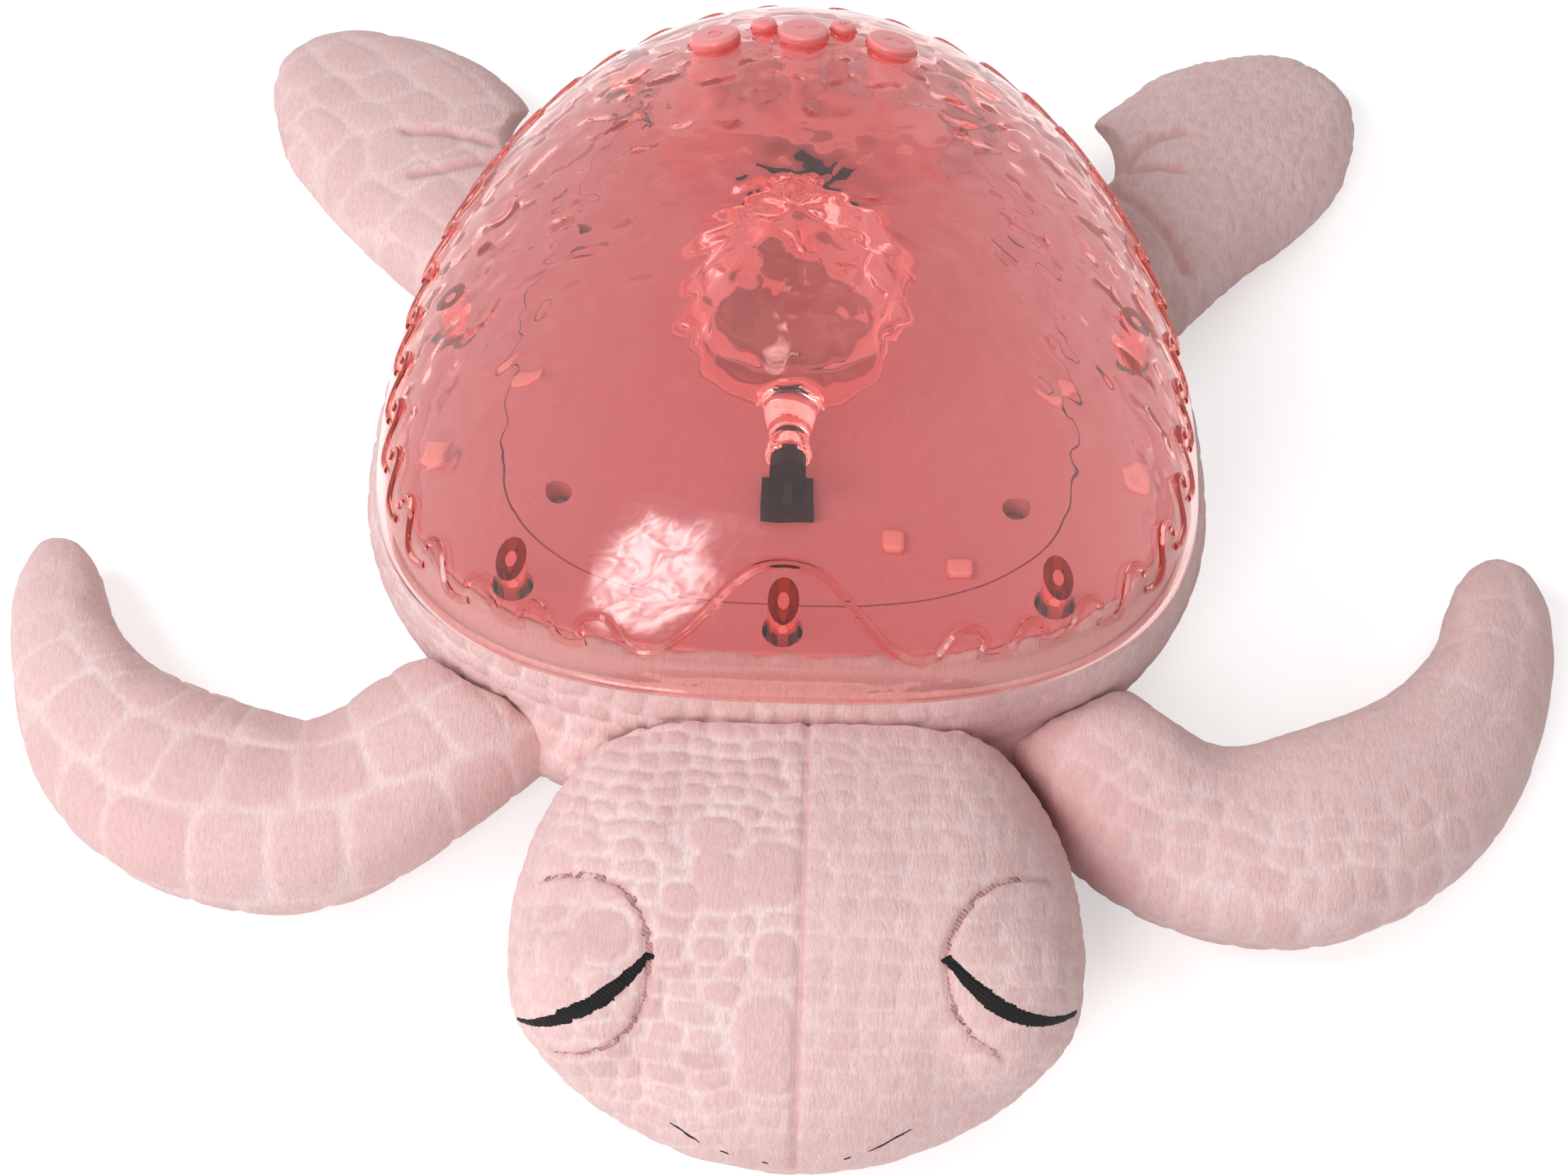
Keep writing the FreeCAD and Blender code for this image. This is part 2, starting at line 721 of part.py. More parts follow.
def bracket(span, spread, foot_far, foot_half, hole):
    y0, y1 = span
    foot0, foot1 = foot_far, y1
    side = [Vector(-spread, y0, deck_top_z), Vector(spread, y0, deck_top_z),
            Vector(bracket_half, y0, axle_z), Vector(-bracket_half, y0, axle_z)]
    upright = Part.Face(Part.makePolygon(side + [side[0]])).extrude(Vector(0, y1 - y0, 0))
    eye = rod_along_y(0, y0, y1, axle_z, bracket_half)
    foot = block(-foot_half, foot_half, foot0, foot1, deck_top_z, deck_top_z + foot_thick)
    gusset_top = axle_z - stub_radius - 1.0
    gusset_points = [Vector(0, foot0, deck_top_z), Vector(0, y1, deck_top_z),
                     Vector(0, y1, gusset_top), Vector(0, y0, gusset_top)]
    gusset = Part.Face(Part.makePolygon(gusset_points + [gusset_points[0]]))
    gusset = gusset.extrude(Vector(2.0, 0, 0))
    gusset.translate(Vector(-1.0, 0, 0))
    shape = joined([upright, eye, foot, gusset])
    return shape.cut(rod_along_y(0, y0 - 1, y1 + 1, axle_z, hole))


def screw_holes(shape, places, z0):
    for x, y in places:
        shape = shape.cut(rod(x, y, z0, deck_top_z + small_screw_bite + 0.2,
                              small_screw_radius + running_gap))
    return shape


def make_front_bracket():
    shape = bracket(front_bracket, bracket_half, front_foot[0], front_foot[1], pin_radius)
    return screw_holes(shape, front_screws, 0)


def make_rear_bracket():
    hole = journal_radius + running_gap
    shape = bracket(rear_bracket, rear_bracket_spread, rear_foot[0], rear_foot[1], hole)
    return screw_holes(shape, rear_screws, 0)


def make_pivot_pin():
    return rod_along_y(0, front_bracket[0], pin_tip_y, axle_z, pin_radius)


def make_bracket_screws():
    screws = []
    under = deck_top_z - deck_wall
    for places, seat in ((front_screws, under), (rear_screws, under - frame_flange)):
        for x, y in places:
            head = rod(x, y, seat - small_screw_head_height, seat, small_screw_head)
            shank = rod(x, y, seat, deck_top_z + small_screw_bite, small_screw_radius)
            screws.append(joined([head, shank]))
    return Part.makeCompound(screws)


# Rocker arm and crank drive

def make_rocker_arm():
    y0, y1 = arm_y
    thick = y1 - y0
    reach = crank_throw + crank_pin_radius + slot_margin
    low = crank_z - reach - 2.4
    hub = rod_along_y(0, y0, y1, axle_z, hub_radius)
    arm = block(-arm_half, arm_half, y0, y1, low, axle_z)
    middle_z = axle_z + crescent_top - crescent_radius
    crescent = rod_along_y(0, y0, y1, middle_z, crescent_radius)
    crescent = crescent.cut(rod_along_y(0, y0, y1, middle_z, crescent_radius - crescent_thick))
    crescent = crescent.common(block(-crescent_half, crescent_half, y0, y1, middle_z, tall))
    arm = joined([hub, arm, crescent])
    half = crank_pin_radius + slot_gap
    slot = block(-half, half, y0, y1, crank_z - reach + half, crank_z + reach - half)
    low_end = rod_along_y(0, y0, y1, crank_z - reach + half, half)
    high_end = rod_along_y(0, y0, y1, crank_z + reach - half, half)
    arm = arm.cut(slot).cut(low_end).cut(high_end)
    return arm.cut(rod_along_y(0, y0, y0 + thick, axle_z, journal_radius))


def involute(angle):
    return math.tan(angle) - angle


def gear_points(teeth, first_tooth):
    pitch = gear_module * teeth / 2
    base = pitch * math.cos(math.radians(pressure_angle))
    root = pitch - 1.25 * gear_module
    tip = pitch + 0.95 * gear_module
    half = (math.pi * gear_module / 2 - gear_backlash) / (2 * pitch)
    half += involute(math.radians(pressure_angle))
    flank = []
    for radius in (root, pitch, tip):
        turn = math.acos(min(1.0, base / radius))
        flank.append((radius, half - involute(turn)))
    corners = []
    for i in range(teeth):
        middle = first_tooth + 2 * math.pi * i / teeth
        for radius, turn in flank:
            corners.append((radius, middle - turn))
        for radius, turn in reversed(flank):
            corners.append((radius, middle + turn))
    return [(r * math.cos(a), r * math.sin(a)) for r, a in corners]


def gear(teeth, x, first_tooth):
    points = []
    for u, v in gear_points(teeth, first_tooth):
        points.append(Vector(x + u, gear_y[0], crank_z + v))
    face = Part.Face(Part.makePolygon(points + [points[0]]))
    return face.extrude(Vector(0, gear_y[1] - gear_y[0], 0))


def idler_x():
    return gear_module * (crank_teeth + idler_teeth) / 2


def pinion_x():
    return idler_x() + gear_module * (idler_teeth + pinion_teeth) / 2


def make_crank_gear():
    wheel = gear(crank_teeth, 0, 0)
    pin = rod_along_y(0, arm_y[1] + end_gap, gear_y[0], crank_z + crank_throw, crank_pin_radius)
    hub = rod_along_y(0, gear_y[0], frame_y[0] - end_gap, crank_z, axle_radius + 2.0)
    wheel = wheel.fuse([pin, hub])
    return wheel.cut(rod_along_y(0, gear_y[0], tall, crank_z, axle_radius + running_gap))


def make_idler_gear():
    wheel = gear(idler_teeth, idler_x(), math.pi / idler_teeth)
    hub = rod_along_y(idler_x(), gear_y[0], frame_y[0] - end_gap, crank_z, axle_radius + 2.0)
    wheel = wheel.fuse(hub)
    return wheel.cut(rod_along_y(idler_x(), gear_y[0], tall, crank_z, axle_radius + running_gap))


def make_pinion():
    wheel = gear(pinion_teeth, pinion_x(), 0)
    return wheel.cut(rod_along_y(pinion_x(), gear_y[0], gear_y[1], crank_z, shaft_radius))


def make_motor_shaft():
    return rod_along_y(pinion_x(), gear_y[0], frame_y[1] + 4.0, crank_z, shaft_radius)


def make_axles():
    pins = []
    for x in (0, idler_x()):
        pins.append(rod_along_y(x, gear_y[0], frame_y[1], crank_z, axle_radius))
    return Part.makeCompound(pins)


def make_drive_frame():
    y0, y1 = frame_y
    under = deck_top_z - deck_wall
    x0 = -axle_radius - 2 * frame_margin
    x1 = pinion_x() + motor_half + 2.0
    plate = block(x0, x1, y0, y1, frame_foot_z, under - frame_flange)
    flange = block(-rear_foot[1] - 2, rear_foot[1] + 2, rear_foot[0], y1,
                   under - frame_flange, under)
    bead = []
    for x in (0, idler_x()):
        bead.append(rod_along_y(x, y1, y1 + 1.5, crank_z, axle_radius + 2.0))
    frame = joined([plate, flange])
    frame = frame.fuse(bead).cut(arm_window(0, tall))
    for x in (0, idler_x()):
        frame = frame.cut(rod_along_y(x, y0, y1, crank_z, axle_radius))
    frame = frame.cut(rod_along_y(pinion_x(), y0, y1, crank_z, shaft_radius + 0.6))
    for x, y in rear_screws:
        frame = frame.cut(rod(x, y, 0, tall, small_screw_radius + running_gap))
    return frame.removeSplitter()


def make_motor():
    x = pinion_x()
    y = frame_y[1]
    box_end = y + gearbox_length
    gearbox = block(x - motor_half, x + motor_half, y, box_end, crank_z - 5, crank_z + 5)
    can = rod_along_y(x, box_end, box_end + motor_length, crank_z, motor_half)
    flat = block(x - motor_half, x + motor_half, box_end, box_end + motor_length,
                 crank_z - 5, crank_z + 5)
    cap = rod_along_y(x, box_end + motor_length, box_end + motor_length + 1.2, crank_z, 2.5)
    motor = joined([gearbox, can.common(flat), cap])
    return motor.cut(rod_along_y(x, y, y + 4.3, crank_z, shaft_radius + running_gap))


# Buttons, pedestal and control board

def switch_top():
    return control_board_z + board_thick + switch_height + plunger_height


def flange_top(x, y, reach):
    # just under the lowest stretch of the dome's inner face over the flange
    heights = []
    for i in range(12):
        angle = math.pi * i / 6
        heights.append(dome_z(x + reach * math.cos(angle), y + reach * math.sin(angle)))
    return min(heights) - 1.25 * shell_wall - flange_gap


def make_button(place, sizes):
    x, y = place
    radius, flange, stem = sizes
    top = dome_z(x, y) + button_proud
    ring = flange_top(x, y, flange)
    cap = rod(x, y, ring - button_flange / 2, top + radius, radius)
    slab = Part.makePlane(4 * radius, 4 * radius, Vector(-2 * radius, -2 * radius, 0))
    slab = slab.extrude(Vector(0, 0, 4 * radius))
    normal = dome_normal(x, y)
    slab.Placement = FreeCAD.Placement(Vector(x, y, top), FreeCAD.Rotation(Vector(0, 0, 1), normal))
    cap = cap.cut(slab)
    crown = [e for e in cap.Edges if e.BoundBox.ZMax > top and e.Length > 5 * radius]
    cap = cap.makeFillet(min(button_round, radius / 3), crown)
    disc = rod(x, y, ring - button_flange, ring, flange)
    leg = rod(x, y, switch_top() + button_travel + press_margin, ring, stem)
    return joined([cap, disc, leg])


def make_pedestal():
    z0 = deck_top_z
    z1 = z0 + pedestal_height
    outer = egg_prism(cover_egg, pedestal_inset, z0, z1)
    outer = outer.common(block(-pedestal_half, pedestal_half, pedestal_front_y, tall, z0, z1))
    inner = egg_prism(cover_egg, pedestal_inset + pedestal_wall, z0, z1 - pedestal_wall)
    half = pedestal_half - pedestal_wall
    inner = inner.common(block(-half, half, pedestal_front_y + pedestal_wall, tall, z0, z1))
    body = outer.cut(inner)
    adds = []
    for x, y in board_posts():
        adds.append(rod(x, y, control_board_z + board_thick, z1 - pedestal_wall / 2, 2.2))
    for name, (x, y), (radius, flange, stem) in button_list():
        guide_top = flange_top(x, y, flange) - button_flange - button_travel - seam_gap
        adds.append(rod(x, y, z1 - pedestal_wall, guide_top, stem + guide_wall))
    body = body.fuse(adds)
    for name, (x, y), (radius, flange, stem) in button_list():
        body = body.cut(rod(x, y, z1 - pedestal_wall - 1, tall, stem + running_gap * 2))
    return body.removeSplitter()


def board_posts():
    return [(-12.0, control_board_front_y + 3.0), (12.0, control_board_front_y + 3.0),
            (0.0, control_board_front_y + 20.0)]


def make_control_board():
    z0, z1 = control_board_z, control_board_z + board_thick
    board = egg_prism(cover_egg, control_board_inset, z0, z1)
    limit = block(-pedestal_half + 5, pedestal_half - 5, control_board_front_y, tall, z0, z1)
    return board.common(limit)


def make_switches():
    switches = []
    foot = control_board_z + board_thick
    for name, (x, y), sizes in button_list():
        body = block(x - switch_half, x + switch_half, y - switch_half, y + switch_half, foot,
                     foot + switch_height)
        plunger = rod(x, y, foot, foot + switch_height + plunger_height, plunger_radius)
        switches.append(joined([body, plunger]))
    return Part.makeCompound(switches)


# Main board

def make_main_board():
    x0, x1, y0, y1 = main_board
    return block(x0, x1, y0, y1, main_board_z, main_board_z + board_thick)


def make_board_parts():
    top = main_board_z + board_thick
    parts = [block(-9, 9, -22, -12, top, top + 2.2), block(-30, -22, -26, -14, top, top + 6.5),
             block(20, 26, -2, 10, top, top + 6.5)]
    for x, y, radius, height in ((-14, 6, 3.2, 9.0), (-25, 6, 4.0, 8.0), (16, -24, 2.5, 7.0)):
        parts.append(rod(x, y, top, top + height, radius))
    return Part.makeCompound(parts)


# Screws

def make_screw(x, y, seat, length, head_side):
    shank = rod(x, y, seat, seat + length, screw_radius)
    head = rod(x, y, seat - screw_head_height, seat, screw_head_radius)
    if head_side > 0:
        shank = rod(x, y, seat - length, seat, screw_radius)
        head = rod(x, y, seat, seat + screw_head_height, screw_head_radius)
    return joined([shank, head])


def make_shell_screws():
    seat = boss_foot_z - screw_seat_wall
    length = screw_seat_wall + screw_grip
    return Part.makeCompound([make_screw(x, y, seat, length, -1)
                              for x, y in both_sides(boss_places)])


def make_cover_screws():
    seat = deck_top_z - cover_pit_depth
    return Part.makeCompound([make_screw(x, y, seat, screw_grip, 1)
                              for x, y in both_sides(cover_screw_places)])


# Stuffed pieces

def make_body():
    wires = []
    for z, inset, blunt in body_levels:
        wires.append(arc_wire(egg_points(rim_egg, inset, z, soft_outline_points, blunt)))
    return above_floor(Part.makeLoft(wires, True, False))


def hollow_body(body):
    hem = egg_prism(rim_egg, hem_inset, body_levels[-2][0], hem_top_z)
    body = body.fuse(hem)
    body = body.cut(tub_solid(-soft_gap, -soft_gap))
    body = body.cut(egg_prism(rim_egg, deck_inset - soft_gap, body_levels[-2][0], tall))
    return body.cut(door_shape(belly_opening_margin, -1, tub_bottom_z + 1))


def oval_wire(centre, across, half_across, half_up, power=2.25):
    points = []
    for i in range(16):
        angle = 2 * math.pi * i / 16
        c, s = math.cos(angle), math.sin(angle)
        reach = ((abs(c) / half_across) ** power + (abs(s) / half_up) ** power) ** (-1 / power)
        points.append(centre + across * (reach * c) + Vector(0, 0, reach * s))
    return arc_wire(points)


def make_head():
    wires = []
    for y, half, top, bottom in head_stations:
        centre = Vector(head_x, y, (top + bottom) / 2)
        wires.append(oval_wire(centre, Vector(1, 0, 0), half, (top - bottom) / 2))
    head = Part.makeLoft(wires, True, False)
    stretch = Matrix()
    stretch.scale(*eye_radii)
    for side in (-1, 1):
        mound = Part.makeSphere(1.0).transformGeometry(stretch)
        mound.translate(Vector(head_x + side * eye_place[0], eye_place[1], eye_place[2]))
        head = head.fuse(mound)
    return above_floor(head)


def make_flipper(stations, side):
    wires = []
    last = len(stations) - 1
    for i, (x, y, width, height, middle) in enumerate(stations):
        before, after = stations[max(i - 1, 0)], stations[min(i + 1, last)]
        along = Vector(side * (after[0] - before[0]), after[1] - before[1], 0).normalize()
        across = Vector(along.y, -along.x, 0)
        wires.append(oval_wire(Vector(side * x, y, middle), across, width / 2, height / 2))
    return above_floor(Part.makeLoft(wires, True, False))


def stuffed_pieces():
    body = make_body()
    head = make_head().cut(body)
    pieces = {"plush_body": hollow_body(body), "head": head}
    for name, stations, side in (("front_flipper_left", front_left_stations, -1),
                                 ("front_flipper_right", front_right_stations, 1),
                                 ("rear_flipper_left", rear_left_stations, -1),
                                 ("rear_flipper_right", rear_right_stations, 1)):
        pieces[name] = make_flipper(stations, side).cut([body, head])
    return pieces


def main():
    os.makedirs("parts", exist_ok=True)
    pieces = {
        "shell": make_shell(),
        "deck": make_deck(),
        "mechanism_cover": make_cover(),
        "lower_housing": make_tub(),
        "battery_door": make_door(),
        "battery_door_screw": make_door_screw(),
        "batteries": make_batteries(),
        "battery_contacts": make_contacts(),
        "speaker": make_speaker(),
        "speaker_cone": make_speaker_cone(),
        "reflector": make_reflector(),
        "lamp_board": make_lamp_board(),
        "lamp": make_lamp(),
        "heat_sink": make_heat_sink(),
        "ripple_lens": make_lens(),
        "lens_front_bracket": make_front_bracket(),
        "lens_rear_bracket": make_rear_bracket(),
        "front_pivot_pin": make_pivot_pin(),
        "bracket_screws": make_bracket_screws(),
        "rocker_arm": make_rocker_arm(),
        "crank_gear": make_crank_gear(),
        "idler_gear": make_idler_gear(),
        "motor_pinion": make_pinion(),
        "motor_shaft": make_motor_shaft(),
        "gear_axles": make_axles(),
        "drive_frame": make_drive_frame(),
        "drive_motor": make_motor(),
        "button_pedestal": make_pedestal(),
        "control_board": make_control_board(),
        "push_switches": make_switches(),
        "main_board": make_main_board(),
        "main_board_parts": make_board_parts(),
        "shell_screws": make_shell_screws(),
        "cover_screws": make_cover_screws(),
    }
    for name, place, sizes in button_list():
        pieces[name] = make_button(place, sizes)
    pieces.update(stuffed_pieces())
    for name, shape in pieces.items():
        shape.translate(Vector(0, -middle_y, 0))
        print(name, len(shape.Solids), round(shape.Volume), shape.isValid())
        shape.exportStep("parts/" + name + ".step")


main()
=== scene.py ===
import math

import bpy
from mathutils import Matrix, Vector, noise
from mathutils.bvhtree import BVHTree


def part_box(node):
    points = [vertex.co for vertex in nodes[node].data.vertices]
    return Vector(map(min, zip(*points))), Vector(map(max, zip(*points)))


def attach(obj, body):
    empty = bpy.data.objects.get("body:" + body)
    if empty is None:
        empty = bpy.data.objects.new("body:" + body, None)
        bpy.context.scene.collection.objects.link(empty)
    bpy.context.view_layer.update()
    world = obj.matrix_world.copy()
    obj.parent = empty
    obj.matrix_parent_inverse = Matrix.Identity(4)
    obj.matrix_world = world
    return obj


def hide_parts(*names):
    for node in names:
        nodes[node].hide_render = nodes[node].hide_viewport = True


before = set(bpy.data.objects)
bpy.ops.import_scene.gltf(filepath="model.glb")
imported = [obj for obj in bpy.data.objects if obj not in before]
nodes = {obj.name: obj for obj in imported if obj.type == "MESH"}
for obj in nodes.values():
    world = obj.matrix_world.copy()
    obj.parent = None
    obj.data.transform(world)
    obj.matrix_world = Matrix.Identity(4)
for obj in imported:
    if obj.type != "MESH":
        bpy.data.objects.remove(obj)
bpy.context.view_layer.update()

# A stuffed sleeping turtle that carries a clear shell over a rocking ripple lens.
# Metres, +Z up, the head towards -Y, in the frame's own place.

scene = bpy.context.scene
mm = 0.001


def say(stage):
    print("stage:", stage)


def deselectAll():
    bpy.ops.object.select_all(action="DESELECT")


def makeActive(piece):
    deselectAll()
    piece.select_set(True)
    bpy.context.view_layer.objects.active = piece


def applyModifiers(piece):
    makeActive(piece)
    for modifier in list(piece.modifiers):
        bpy.ops.object.modifier_apply(modifier=modifier.name)


def smooth(value, low, high):
    share = min(1.0, max(0.0, (value - low) / (high - low)))
    return share * share * (3 - 2 * share)


def awayFromLine(place, line):
    best = 99.0
    for start, end in zip(line, line[1:]):
        reach = end - start
        share = min(1.0, max(0.0, (place - start).dot(reach) / reach.length_squared))
        best = min(best, (place - start - reach * share).length)
    return best


def combine(piece, other, operation, crossing=False):
    change = piece.modifiers.new("combine", "BOOLEAN")
    change.operation = operation
    change.solver = "EXACT"
    change.use_self = crossing
    change.object = other
    applyModifiers(piece)
    bpy.data.objects.remove(other)


def mergeDoubles(piece, apart, outwards=True):
    makeActive(piece)
    bpy.ops.object.mode_set(mode="EDIT")
    bpy.ops.mesh.select_all(action="SELECT")
    bpy.ops.mesh.remove_doubles(threshold=apart)
    if outwards:
        bpy.ops.mesh.normals_make_consistent(inside=False)
    bpy.ops.object.mode_set(mode="OBJECT")


def newObject(name, data):
    made = bpy.data.objects.new(name, data)
    scene.collection.objects.link(made)
    return made


def copyOfNode(nodeName, pieceName):
    mesh = nodes[nodeName].data.copy()
    mesh.materials.clear()
    piece = newObject(pieceName, mesh)
    mergeDoubles(piece, 0.02 * mm, outwards=False)
    return piece


def newGrid(name, columns, rows):
    deselectAll()
    bpy.ops.mesh.primitive_grid_add(x_subdivisions=columns, y_subdivisions=rows, size=1)
    piece = bpy.context.active_object
    piece.name = name
    return piece


def moveAlongNormals(piece, rule):
    # rule gives how far a vertex goes, from its number, its place and its normal
    mesh = piece.data
    normals = [vertex.normal.copy() for vertex in mesh.vertices]
    for i, (vertex, normal) in enumerate(zip(mesh.vertices, normals)):
        vertex.co = vertex.co + normal * rule(i, vertex.co.copy(), normal)


def thicken(piece, thickness):
    wall = piece.modifiers.new("wall", "SOLIDIFY")
    wall.thickness = thickness
    wall.offset = -1.0
    applyModifiers(piece)


def newCurve(name, steps, radius=0.0):
    curve = bpy.data.curves.new(name, "CURVE")
    curve.dimensions = "3D"
    curve.resolution_u = steps
    curve.bevel_depth = radius
    curve.bevel_resolution = 2
    curve.use_fill_caps = True
    return curve


def addSpline(curve, points, order=3):
    spline = curve.splines.new("NURBS")
    spline.points.add(len(points) - 1)
    for target, point in zip(spline.points, points):
        target.co = (*point, 1.0)
    spline.order_u = min(order, len(points))
    spline.use_endpoint_u = True
    return spline


def meshOfCurve(curve):
    makeActive(newObject(curve.name, curve))
    bpy.ops.object.convert(target="MESH")
    return bpy.context.active_object


def paint(piece, material):
    piece.data.materials.clear()
    piece.data.materials.append(material)


def surfaceOf(piece):
    return BVHTree.FromObject(piece, bpy.context.evaluated_depsgraph_get())


# Shader nodes and the node groups that several materials share

def feed(tree, socket, value):
    # a socket takes a number, a colour or what another node puts out
    if isinstance(value, bpy.types.NodeSocket):
        tree.links.new(value, socket)
    elif socket.type == "RGBA":
        socket.default_value = (*value, 1.0)
    else:
        socket.default_value = value


def addNode(tree, kind, values=(), **settings):
    node = tree.nodes.new("ShaderNode" + kind)
    node.location = (200 * len(tree.nodes), 0)  # each new node stands to the right
    for label, value in settings.items():
        setattr(node, label, value)
    for label, value in dict(values).items():
        feed(tree, node.inputs[label], value)
    return node


def addMath(tree, operation, first, second):
    return addNode(tree, "Math", {0: first, 1: second}, operation=operation).outputs[0]


def addNoise(tree, vector, scale, detail=2.0, rough=0.5, distortion=0.0):
    return addNode(tree, "TexNoise", {"Vector": vector, "Scale": scale, "Detail": detail,
                                      "Roughness": rough, "Distortion": distortion}).outputs["Fac"]


def addBlend(tree, share, first, second, mode="MIX"):
    node = addNode(tree, "Mix", data_type="RGBA", blend_type=mode)
    sockets = {socket.identifier: socket for socket in (*node.inputs, *node.outputs)}
    feed(tree, sockets["Factor_Float"], share)
    feed(tree, sockets["A_Color"], first)
    feed(tree, sockets["B_Color"], second)
    return sockets["Result_Color"]


def addRange(tree, value, low, high, lowResult, highResult):
    return addNode(tree, "MapRange", {
        "Value": value, "From Min": low, "From Max": high, "To Min": lowResult,
        "To Max": highResult}, interpolation_type="SMOOTHSTEP").outputs["Result"]


def addPlace(tree):
    return addNode(tree, "TexCoord").outputs["Object"]


def addMark(tree, name):
    return addNode(tree, "Attribute", attribute_name=name).outputs["Fac"]


def newGroup(name, inputs):
    # every group puts out a colour, a height and a roughness
    group = bpy.data.node_groups.new(name, "ShaderNodeTree")
    for label, value in inputs.items():
        isColor = isinstance(value, tuple)
        made = group.interface.new_socket(
            label, in_out="INPUT", socket_type="NodeSocketColor" if isColor else "NodeSocketFloat")
        made.default_value = (*value, 1.0) if isColor else value
    for label, kind in (("Color", "Color"), ("Height", "Float"), ("Roughness", "Float")):
        group.interface.new_socket(label, in_out="OUTPUT", socket_type="NodeSocket" + kind)
    return group, group.nodes.new("NodeGroupInput").outputs


def closeGroup(group, color, height, rough):
    outside = group.nodes.new("NodeGroupOutput")
    for label, value in (("Color", color), ("Height", height), ("Roughness", rough)):
        feed(group, outside.inputs[label], value)
    return group


# how far the fibres are drawn out, the sizes of the patterns, and how strongly each one shows
pile = {"stretch": (1.0, 0.3, 0.3), "tufts": 480.0, "clouds": 38.0, "wear": 0.35, "wearBase": 0.17,
        "toneShade": 0.28, "speckLevel": 0.62, "speckShade": 1.3, "seamShade": 0.55,
        "fuzzHeight": 0.55, "tuftHeight": 0.45, "rough": 0.78, "roughFuzz": 0.2}


def makePileGroup():
    # short pile: soft fuzz at two sizes, with the colour lighter in the pressed valleys
    group, given = newGroup("shortPile", {
        "Cell Color": (0.8, 0.6, 0.6), "Valley Color": (0.9, 0.8, 0.8),
        "Shadow Color": (0.6, 0.4, 0.4), "Fuzz Scale": 1400.0, "Blotch": 0.2})
    cell, seamAndShade, tone = (addMark(group, name) for name in ("cell", "seamAndShade", "tone"))
    place = addPlace(group)
    lying = addNode(group, "VectorMath", {0: place, 1: pile["stretch"]},
                    operation="MULTIPLY").outputs[0]
    fuzz = addNoise(group, lying, given["Fuzz Scale"], 3.0, 0.7, 0.6)
    tufts = addNoise(group, lying, pile["tufts"], 2.0, 0.5, 1.2)
    cloud = addNoise(group, place, pile["clouds"], 3.0, 0.6)
    worn = addMath(group, "ADD", cell, addMath(group, "MULTIPLY", tufts, pile["wear"]))
    color = addBlend(group, addMath(group, "SUBTRACT", worn, pile["wearBase"]),
                     given["Valley Color"], given["Cell Color"])
    color = addBlend(group, addMath(group, "MULTIPLY", cloud, given["Blotch"]), color,
                     given["Valley Color"])
    speck = addMath(group, "SUBTRACT", pile["speckLevel"], fuzz)
    # tone, speck and the seam mark darken towards the Shadow Color; the seam mark includes painted
    # shade where the pieces meet
    for mark, strength in ((tone, "toneShade"), (speck, "speckShade"), (seamAndShade, "seamShade")):
        color = addBlend(group, addMath(group, "MULTIPLY", mark, pile[strength]), color,
                         given["Shadow Color"])
    height = addMath(group, "ADD", addMath(group, "MULTIPLY", fuzz, pile["fuzzHeight"]),
                     addMath(group, "MULTIPLY", tufts, pile["tuftHeight"]))
    rough = addMath(group, "ADD", addMath(group, "MULTIPLY", fuzz, pile["roughFuzz"]),
                    pile["rough"])
    return closeGroup(group, color, height, rough)


wear = {"clouds": 45.0, "dustSize": 2400.0, "dustLevel": 0.66, "darker": (0.72, 0.72, 0.72),
        "cloudShare": 2.0, "roughCloud": 0.12}


def makeWearGroup():
    # moulded plastic: faint flow clouds, dust and fine handling marks
    group, given = newGroup("mouldedFinish", {
        "Base Color": (0.8, 0.8, 0.8), "Dust Color": (0.8, 0.78, 0.76), "Roughness": 0.3,
        "Grain Scale": 900.0, "Cloud": 0.06, "Dust": 0.08})
    place = addPlace(group)
    grain = addNoise(group, place, given["Grain Scale"])
    cloud = addNoise(group, place, wear["clouds"], 4.0, 0.6, 0.4)
    speck = addNoise(group, place, wear["dustSize"], 1.0)
    darker = addBlend(group, 1.0, given["Base Color"], wear["darker"], "MULTIPLY")
    share = addMath(group, "MULTIPLY", cloud, given["Cloud"])
    color = addBlend(group, addMath(group, "MULTIPLY", share, wear["cloudShare"]),
                     given["Base Color"], darker)
    dust = addMath(group, "GREATER_THAN", speck, wear["dustLevel"])
    color = addBlend(group, addMath(group, "MULTIPLY", dust, given["Dust"]), color,
                     given["Dust Color"])
    flow = addMath(group, "SUBTRACT", cloud, 0.5)
    rough = addMath(group, "ADD", given["Roughness"],
                    addMath(group, "MULTIPLY", flow, wear["roughCloud"]))
    return closeGroup(group, color, grain, rough)


pileGroup = makePileGroup()
mouldedGroup = makeWearGroup()


def newMaterial(name):
    material = bpy.data.materials.new(name)
    material.use_nodes = True
    tree = material.node_tree
    return material, tree, tree.nodes["Principled BSDF"]


def setSockets(tree, node, values):
    for label, value in values.items():
        feed(tree, node.inputs[label], value)


def addBump(tree, shader, height, strength, distance):
    bump = addNode(tree, "Bump", {"Strength": strength, "Distance": distance, "Height": height})
    feed(tree, shader.inputs["Normal"], bump.outputs["Normal"])


def groupMaterial(name, group, values, strength, distance):
    material, tree, shader = newMaterial(name)
    finish = addNode(tree, "Group", node_tree=group)
    setSockets(tree, finish, values)
    setSockets(tree, shader, {"Base Color": finish.outputs["Color"],
                              "Roughness": finish.outputs["Roughness"]})
    addBump(tree, shader, finish.outputs["Height"], strength, distance)
    return material, tree, shader


def plushMaterial(name, values):
    material, tree, shader = groupMaterial(name, pileGroup, values, 0.75, 0.7 * mm)
    setSockets(tree, shader, {"Sheen Weight": 0.35, "Sheen Roughness": 0.45,
                              "Sheen Tint": (1.0, 0.93, 0.92), "Specular IOR Level": 0.15})
    return material


